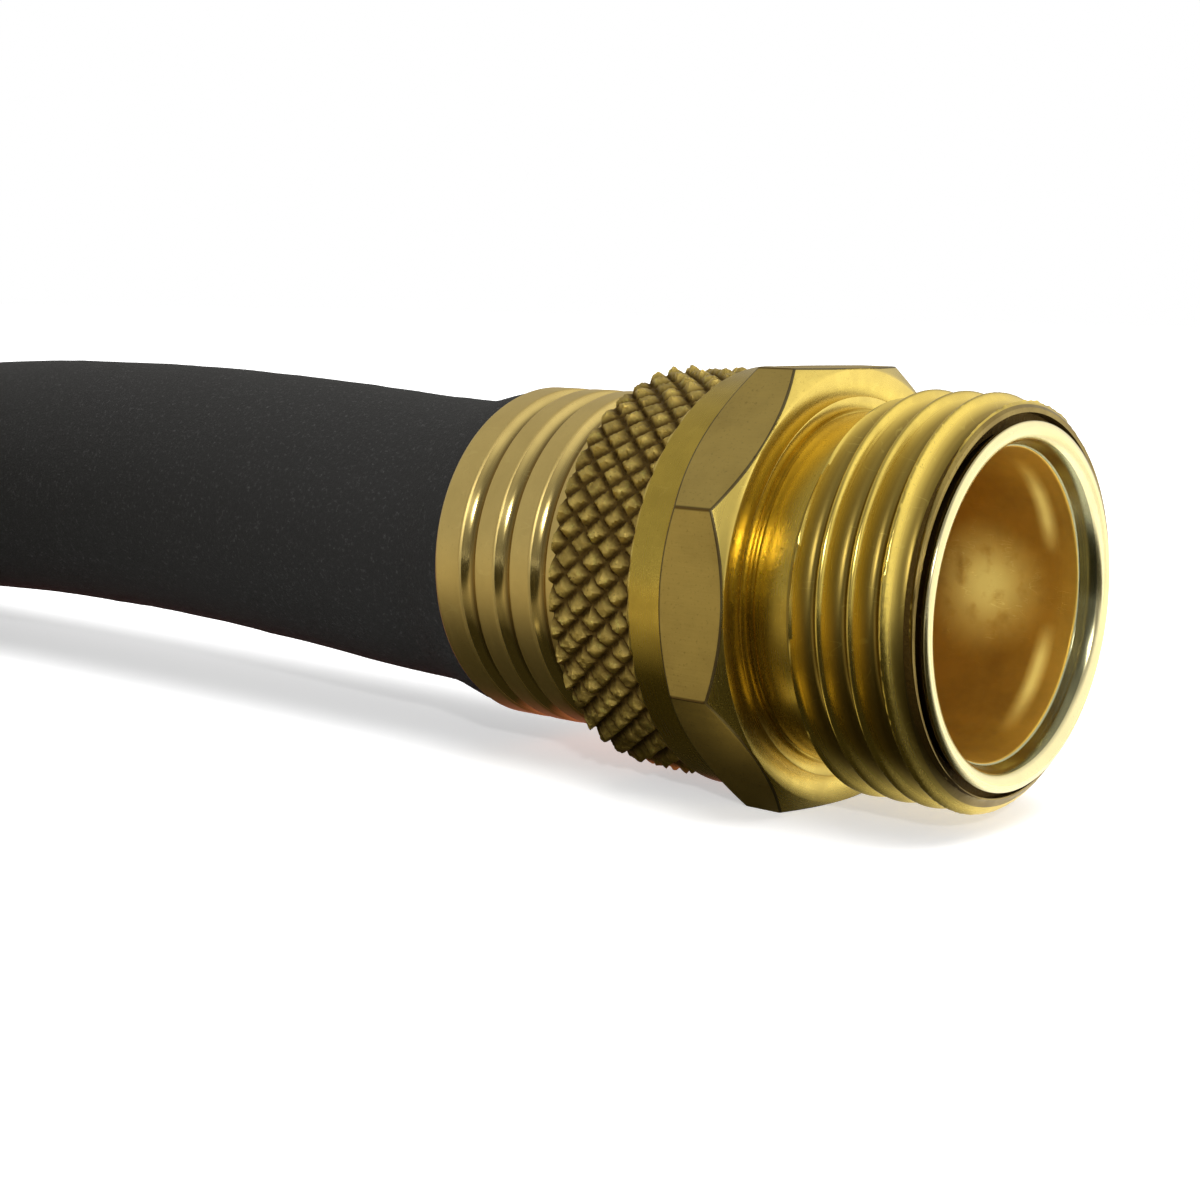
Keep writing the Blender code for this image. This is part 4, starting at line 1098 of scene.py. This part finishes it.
class SOAKER_OT_hose(bpy.types.Operator):
    """Porous hose from the outlet ferrule through the coil to the inlet ferrule"""
    bl_idname = "soaker.hose"
    bl_label = "Make hose"

    def execute(self, context):
        settings = context.scene.soaker_hose
        sizes, finishes = settings.hose, settings.finishes
        path = hose_path(sizes)
        outside = tube_rings(path, self.skin_radii(path, sizes), HOSE_COLUMNS)
        bore_count = round(BORE_SHOWN / sizes.ring_spacing)
        points = np.concatenate([
            self.bore_rings(path[:bore_count], sizes), outside, self.bore_rings(path[-bore_count:], sizes)])
        rubber = soft_material("rubber_hose", finishes.rubber, finishes.rubber_speck, roughness=0.82,
                               scale=5200.0, depth=0.06 * MM, gloss=0.2)
        hose = skin("hose_tube", points, [rubber], joined=False)
        dress(hose, "hose", "hose_rubber", "hose_run", "hose_coil", "hose_tail")
        # The coil is put away just outside the view, so the brass doesn't mirror it.
        hose.visible_glossy = False
        return {"FINISHED"}

    def skin_radii(self, path, sizes):
        """Slow swelling and finer lumps of the extruded skin; the ends keep the ferrule's bore."""
        chance = np.random.default_rng(11)
        along = np.concatenate([[0.0], np.cumsum(np.linalg.norm(np.diff(path, axis=0), axis=1))])
        angles = TAU * np.arange(HOSE_COLUMNS) / HOSE_COLUMNS
        swell = np.zeros((len(path), HOSE_COLUMNS))
        waves = 8
        for lobes in range(1, waves + 1):
            length_of_wave = chance.uniform(9.0, 60.0) * MM
            phase, lean = chance.uniform(0.0, TAU, 2)
            lengthwise = np.sin(TAU * along / length_of_wave + phase)
            swell += lengthwise[:, None] * np.cos(lobes * angles + lean)[None, :] / waves
        lumps = chance.normal(0.0, 0.25, swell.shape)
        from_end = np.minimum(along, along[-1] - along)
        held, eased_over = 2.0 * MM, 8.0 * MM
        free = np.clip((from_end - held) / eased_over, 0.0, 1.0)[:, None]
        squeezed = np.clip(1.0 - from_end / SWELL_LENGTH, 0.0, 1.0)
        pushed_out = SWELL_HEIGHT * squeezed * squeezed * (3.0 - 2.0 * squeezed)
        return sizes.radius + pushed_out[:, None] + sizes.unevenness * (swell * 2.0 + lumps) * free

    def bore_rings(self, path, sizes):
        """Rings of the water way, against the path's direction, so that they carry on from the cut end."""
        return tube_rings(path, np.full((len(path), HOSE_COLUMNS), sizes.bore), HOSE_COLUMNS)[::-1]


# ------------------------------------------------------------------ coil ties

def turns_crossing(angle):
    """How far along the coil, in turns, each pass through the given angle lies."""
    offset = ((angle - COIL_ENTRY_ANGLE) % TAU) / TAU
    return [offset + whole for whole in range(math.ceil(COIL_TURNS)) if offset + whole <= COIL_TURNS]


def strap_corners(angle, step):
    """Middles of the corner turns in the tie at this angle: distance from the coil's centre, and height."""
    spread = math.pi / COIL_POINTS_PER_TURN
    turns = [turn for edge in (-spread, 0.0, spread) for turn in turns_crossing(angle + edge)]
    half = COIL_TURNS / 2.0
    inner = min(coil_radius(turn, step) for turn in turns) * math.cos(spread)
    low_outer = max(coil_radius(turn, step) for turn in turns if turn < half)
    high_outer = max(coil_radius(turn, step) for turn in turns if turn > half)
    low, high = coil_height(0.0, step), coil_height(COIL_TURNS, step)
    return np.array([(inner, low), (low_outer, low), (high_outer, high), (inner, high)])


def strap_line(corners, offset):
    """Points of the loop at one offset outside the corner turns: at each an arc, then the straight side."""
    arc_steps, side_steps = 10, 20
    line = []
    for index, corner in enumerate(corners):
        before, after = corners[index - 1], corners[(index + 1) % len(corners)]
        start = math.atan2(*(corner - before)[::-1]) - math.pi / 2.0
        end = math.atan2(*(after - corner)[::-1]) - math.pi / 2.0
        sweep = (end - start) % TAU
        for step in range(arc_steps + 1):
            angle = start + sweep * step / arc_steps
            line.append(corner + offset * np.array((math.cos(angle), math.sin(angle))))
        reach = after - corner
        for step in range(1, side_steps):
            line.append(line[-step] + reach * step / side_steps)
    return np.array(line)


def strap_section(low, high):
    """Cross-section of woven webbing, as place across its width and offset: ribbed faces, full edges."""
    half = TIE_WIDTH / 2.0
    rib, ribs, edge = 0.05 * MM, 49, 0.35 * MM
    shoulder, drop = 0.08 * MM, 0.2 * MM
    across = np.linspace(-half + edge, half - edge, ribs)
    ripple = rib * np.cos(np.arange(ribs) * math.pi)
    inner = [(place, low + rib + wave) for place, wave in zip(across, ripple)]
    outer = [(place, high - rib - wave) for place, wave in zip(across[::-1], ripple)]
    middle = (low + high) / 2.0
    right = [(half - shoulder, low + drop), (half, middle), (half - shoulder, high - drop)]
    left = [(-place, offset) for place, offset in reversed(right)]
    return inner + right + outer + left


class SOAKER_OT_ties(bpy.types.Operator):
    """Webbing ties round the coil, each with its closing tab"""
    bl_idname = "soaker.ties"
    bl_label = "Make coil ties"

    def execute(self, context):
        settings = context.scene.soaker_hose
        step = hose_pitch(settings.hose)
        webbing = webbing_material("tie_webbing", settings.finishes.webbing)
        inside = settings.hose.radius + TIE_CLEARANCE
        for number, angle in enumerate(TIE_ANGLES, start=1):
            corners = strap_corners(angle, step)
            loops = []
            for across, offset in strap_section(inside, inside + TIE_THICKNESS):
                line = strap_line(corners, offset)
                loops.append([(out, across, height) for out, height in line])
            strap = skin(f"coil_tie_{number}_strap", np.array(loops), [webbing])
            self.lay(strap, angle, step)
            dress(strap, "hose", "tie_webbing", f"coil_tie_{number}")
            strap.visible_glossy = False
            tab = skin(f"coil_tie_{number}_tab", self.tab_points(corners, inside + TIE_THICKNESS), [webbing])
            self.lay(tab, angle, step)
            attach(tab, "hose")
            tab.visible_glossy = False
        return {"FINISHED"}

    def lay(self, piece, angle, step):
        piece.location = coil_centre(step)
        piece.rotation_euler = (0.0, 0.0, angle)

    def tab_points(self, corners, offset):
        """Closing tab: the strap's end, pressed on to its inner upright side."""
        thickness, corner_round, feather = 1.0 * MM, 2.5 * MM, 0.5 * MM
        half = TIE_WIDTH / 2.0 - 0.3 * MM
        low, high = corners[0][1] - 3.0 * MM, corners[3][1] + 1.0 * MM
        face = corners[0][0] - offset
        rings = []
        for share in np.linspace(0.0, 1.0, 33):
            end = min(share, 1.0 - share) * (high - low)
            round_off = math.sqrt(max(0.0, 1.0 - max(0.0, 1.0 - end / corner_round) ** 2))
            width = half - corner_round * (1.0 - round_off)
            thick = thickness * (0.15 + 0.85 * min(1.0, end / feather))
            ring = []
            for turn in np.linspace(0.0, TAU, 40, endpoint=False):
                corner_in = abs(math.cos(turn)) ** 0.25 * math.copysign(1.0, math.cos(turn))
                corner_up = abs(math.sin(turn)) ** 0.5 * math.copysign(1.0, math.sin(turn))
                ring.append((face - thick / 2.0 + thick / 2.0 * corner_up, width * corner_in,
                             low + share * (high - low)))
            rings.append(ring)
        return np.array(rings)


# ------------------------------------------------------------------ studio

CAMERA_LENS = 60.95
CAMERA_SENSOR = 36.0
CAMERA_PLACE = (0.07981, -0.11243, 0.03243)
CAMERA_RIGHT = (0.76364, 0.64539, 0.01816)
CAMERA_UP = (-0.10597, 0.09754, 0.98957)
CAMERA_BACK = (0.63689, -0.75760, 0.14288)

KEY_PLACE, KEY_SIZE = (0.60, -0.68, 0.42), 0.05
TOP_PLACE, TOP_SIZE = (0.10, -0.10, 1.30), 1.20
LAMP_AIM = (-0.01, 0.0, 0.0144)

TENT_RADIUS = 2.4
TENT_COLOUR = (1.0, 0.98, 0.92, 1.0)
BRIGHT_SIDE = (0.85, 0.5, 0.0)
DARK_GAP = (0.45, -0.85, 0.15)

CARD_RADIUS = 1.5
CARD_GREY = (0.60, 0.53, 0.38)
CARD_WARM = (0.44, 0.16, 0.15)
CARD_DARK = (0.03, 0.026, 0.012)
CARD_PALE = (0.90, 0.80, 0.52)
CARD_BRIGHT = (1.35, 1.33, 1.15)

# Edges of the card's zones in metres, each from where the zone starts to where it is full
FRONT_Y, FRONT_X = (0.0, -0.008), (0.42, 0.25)
AXIS_Y, NEAR_OFF_AXIS, NEAR_X = -0.012, (0.034, 0.008), (0.0, 0.02)
STRIP_LEFT, STRIP_RIGHT = (0.0025, 0.004), (0.0105, 0.009)
STRIP_BACK, STRIP_FRONT = (-0.0120, -0.0135), (-0.024, -0.021)
BEHIND_Y, BEHIND_X = (-0.005, -0.001), (0.006, 0.0)
RIGHT_Y, RIGHT_X = (0.02, 0.05), (0.01, 0.03)
LEFT_X = (0.010, 0.004)
CARD_END = (0.46, 0.42)


class SOAKER_OT_stage(bpy.types.Operator):
    """Camera, floor, lamps and the cards that the brass reflects"""
    bl_idname = "soaker.stage"
    bl_label = "Set the stage"

    def execute(self, context):
        studio = context.scene.soaker_hose.studio
        scene = context.scene
        scene.view_settings.view_transform = "Standard"
        self.place_camera(scene)
        self.light_room(scene, studio)
        self.lay_floor(studio)
        self.hang_lamp("key_lamp", KEY_PLACE, KEY_SIZE, studio.key_power)
        top_lamp = self.hang_lamp("top_lamp", TOP_PLACE, TOP_SIZE, studio.top_power)
        top_lamp.visible_glossy = False
        self.raise_tent()
        return {"FINISHED"}

    def place_camera(self, scene):
        camera = bpy.data.cameras.new("camera")
        camera.lens = CAMERA_LENS
        camera.sensor_width = CAMERA_SENSOR
        camera.clip_start = 0.005
        camera.clip_end = 50.0
        made = link("camera", camera)
        turn = Matrix((CAMERA_RIGHT, CAMERA_UP, CAMERA_BACK)).transposed().to_4x4()
        made.matrix_world = Matrix.Translation(CAMERA_PLACE) @ turn
        scene.camera = made

    def seen_by_eye_or_mirror(self, tree):
        """1 for rays that show the background: straight from the camera, reflected or refracted."""
        rays = add_node(tree, "ShaderNodeLightPath").outputs
        return larger(tree, rays["Is Camera Ray"],
                      larger(tree, rays["Is Glossy Ray"], rays["Is Transmission Ray"]))

    def light_room(self, scene, studio):
        world = bpy.data.worlds.new("room")
        world.use_nodes = True
        tree = world.node_tree
        backdrop = tree.nodes["Background"]
        backdrop.inputs["Color"].default_value = (1.0, 1.0, 1.0, 1.0)
        strength = ramp(tree, self.seen_by_eye_or_mirror(tree), 0.0, 1.0, studio.sky, 1.0)
        tree.links.new(strength, backdrop.inputs["Strength"])
        scene.world = world

    def lay_floor(self, studio):
        """Pale paint whose glow grows with the distance, so that the floor fades into the room."""
        half = 6.0
        corners = [(-half, -half, 0.0), (half, -half, 0.0), (half, half, 0.0), (-half, half, 0.0)]
        mesh = bpy.data.meshes.new("floor")
        mesh.from_pydata(corners, [], [(0, 1, 2, 3)])
        material = bpy.data.materials.new("floor")
        material.use_nodes = True
        tree = material.node_tree
        tree.nodes.clear()
        paint = add_node(tree, "ShaderNodeBsdfDiffuse", {"Color": (*studio.floor, 1.0)})
        away = vector_maths(tree, "LENGTH", own_place(tree), result="Value")
        lift = times(tree, self.seen_by_eye_or_mirror(tree), ramp(tree, away, 0.4, 2.5, 0.48, 1.05))
        glow = add_node(tree, "ShaderNodeEmission", {"Strength": lift})
        both = add_node(tree, "ShaderNodeAddShader", {0: paint.outputs[0], 1: glow.outputs[0]})
        add_node(tree, "ShaderNodeOutputMaterial", {"Surface": both.outputs[0]})
        mesh.materials.append(material)
        link("floor", mesh)

    def hang_lamp(self, name, place, width, power):
        """Square lamp that points at the outlet fitting."""
        lamp = bpy.data.lights.new(name, "AREA")
        lamp.shape = "SQUARE"
        lamp.size = width
        lamp.energy = power
        made = link(name, lamp)
        made.location = place
        made.rotation_euler = (Vector(LAMP_AIM) - Vector(place)).to_track_quat("-Z", "Y").to_euler()
        made.visible_camera = False
        return made

    def raise_tent(self):
        """Cloth dome and a table card that only reflections see."""
        rings, columns = 24, 48
        points = np.zeros((rings, columns, 3))
        for ring in range(rings):
            rise = math.pi / 2.0 * ring / rings
            out, height = TENT_RADIUS * math.cos(rise), TENT_RADIUS * math.sin(rise)
            for column in range(columns):
                turn = TAU * column / columns
                points[ring, column] = out * math.cos(turn), out * math.sin(turn), height
        tent = skin("tent", points, [self.tent_material()], joined=False)
        card_points = points[:2] * (CARD_RADIUS / TENT_RADIUS)
        card_points[0, :, 2], card_points[1, :, 2] = 0.05 * MM, 0.1 * MM
        card = skin("table_card", card_points, [self.card_material()], joined=False)
        for piece in (tent, card):
            for kind in ("camera", "diffuse", "transmission", "shadow", "volume_scatter"):
                setattr(piece, f"visible_{kind}", False)

    def glowing(self, name):
        """Material that only gives light, its tree, and the inputs of its light."""
        material = bpy.data.materials.new(name)
        material.use_nodes = True
        tree = material.node_tree
        tree.nodes.clear()
        glow = add_node(tree, "ShaderNodeEmission", {"Strength": 1.0})
        add_node(tree, "ShaderNodeOutputMaterial", {"Surface": glow.outputs[0]})
        return material, tree, glow.inputs

    def card_material(self):
        """Dark near the fitting and in front, with a pale strip; grey, warm behind, bright to the right.

        It is clear to the right of the fitting's middle, except in front and in the bright zone, and ends
        before the card does.
        """
        material, tree, glow = self.glowing("table_card")
        place = own_place(tree)
        spot = axes_of(tree, place)

        def zone(axis, edge):
            return ramp(tree, spot[axis], *edge)

        front = times(tree, zone("Y", FRONT_Y), zone("X", FRONT_X))
        off_axis = maths(tree, "ABSOLUTE", plus(tree, spot["Y"], -AXIS_Y))
        near = larger(tree, ramp(tree, off_axis, *NEAR_OFF_AXIS), times(tree, front, zone("X", NEAR_X)))
        strip = times(tree, zone("X", STRIP_LEFT), zone("X", STRIP_RIGHT))
        strip = times(tree, strip, times(tree, zone("Y", STRIP_BACK), zone("Y", STRIP_FRONT)))
        behind = times(tree, zone("Y", BEHIND_Y), zone("X", BEHIND_X))
        right = times(tree, zone("Y", RIGHT_Y), zone("X", RIGHT_X))
        zones = ((near, CARD_DARK), (strip, CARD_PALE), (behind, CARD_WARM), (right, CARD_BRIGHT))
        tone = CARD_GREY
        for share, paint in zones:
            tone = mix_colour(tree, share, tone, paint)
        tree.links.new(tone, glow["Color"])
        away = vector_maths(tree, "LENGTH", place, result="Value")
        hidden = times(tree, larger(tree, zone("X", LEFT_X), front), ramp(tree, away, *CARD_END))
        clear = add_node(tree, "ShaderNodeBsdfTransparent").outputs[0]
        lit = tree.nodes["Emission"].outputs[0]
        shown = add_node(tree, "ShaderNodeMixShader", {0: larger(tree, hidden, right), 1: clear, 2: lit})
        tree.links.new(shown.outputs[0], tree.nodes["Material Output"].inputs["Surface"])
        return material

    def facing(self, tree, way, direction, low, high, to_low, to_high):
        """Value that changes as the tent's place, seen from the fitting, nears a direction."""
        near = vector_maths(tree, "DOT_PRODUCT", way, tuple(Vector(direction).normalized()), "Value")
        return ramp(tree, near, low, high, to_low, to_high)

    def tent_material(self):
        """Grey cloth, bright to the right where the mouth points, with a dark gap around the camera."""
        material, tree, glow = self.glowing("tent")
        way = vector_maths(tree, "NORMALIZE", own_place(tree))
        cloth = self.facing(tree, way, BRIGHT_SIDE, 0.25, 0.75, 0.46, 1.2)
        gap = self.facing(tree, way, DARK_GAP, 0.50, 0.85, 1.0, 0.30)
        tree.links.new(times(tree, cloth, gap), glow["Strength"])
        glow["Color"].default_value = TENT_COLOUR
        return material


# ------------------------------------------------------------------ panel and registration

STEPS = ("soaker.stage", "soaker.outlet", "soaker.inlet", "soaker.seals", "soaker.ties", "soaker.hose")


class SOAKER_PT_panel(bpy.types.Panel):
    """Settings and steps of the soaker hose"""
    bl_idname = "SOAKER_PT_panel"
    bl_label = "Soaker Hose"
    bl_space_type = "VIEW_3D"
    bl_region_type = "UI"
    bl_category = "Soaker Hose"

    def draw(self, context):
        settings = context.scene.soaker_hose
        for group in (settings.hose, settings.brass, settings.finishes, settings.studio):
            box = self.layout.box()
            for name in group.__annotations__:
                box.prop(group, name)
        for step in STEPS:
            self.layout.operator(step)


CLASSES = (
    HoseSizes, BrassSizes, Finishes, StudioSettings, SoakerHoseSettings,
    SOAKER_OT_stage, SOAKER_OT_outlet, SOAKER_OT_inlet, SOAKER_OT_seals, SOAKER_OT_ties, SOAKER_OT_hose,
    SOAKER_PT_panel,
)


def register():
    for made in CLASSES:
        bpy.utils.register_class(made)
    bpy.types.Scene.soaker_hose = PointerProperty(type=SoakerHoseSettings)


def unregister():
    del bpy.types.Scene.soaker_hose
    for made in reversed(CLASSES):
        bpy.utils.unregister_class(made)


def main():
    register()
    bpy.ops.soaker.stage()
    bpy.ops.soaker.outlet()
    bpy.ops.soaker.inlet()
    bpy.ops.soaker.seals()
    bpy.ops.soaker.ties()
    bpy.ops.soaker.hose()


if __name__ == "__main__":
    main()
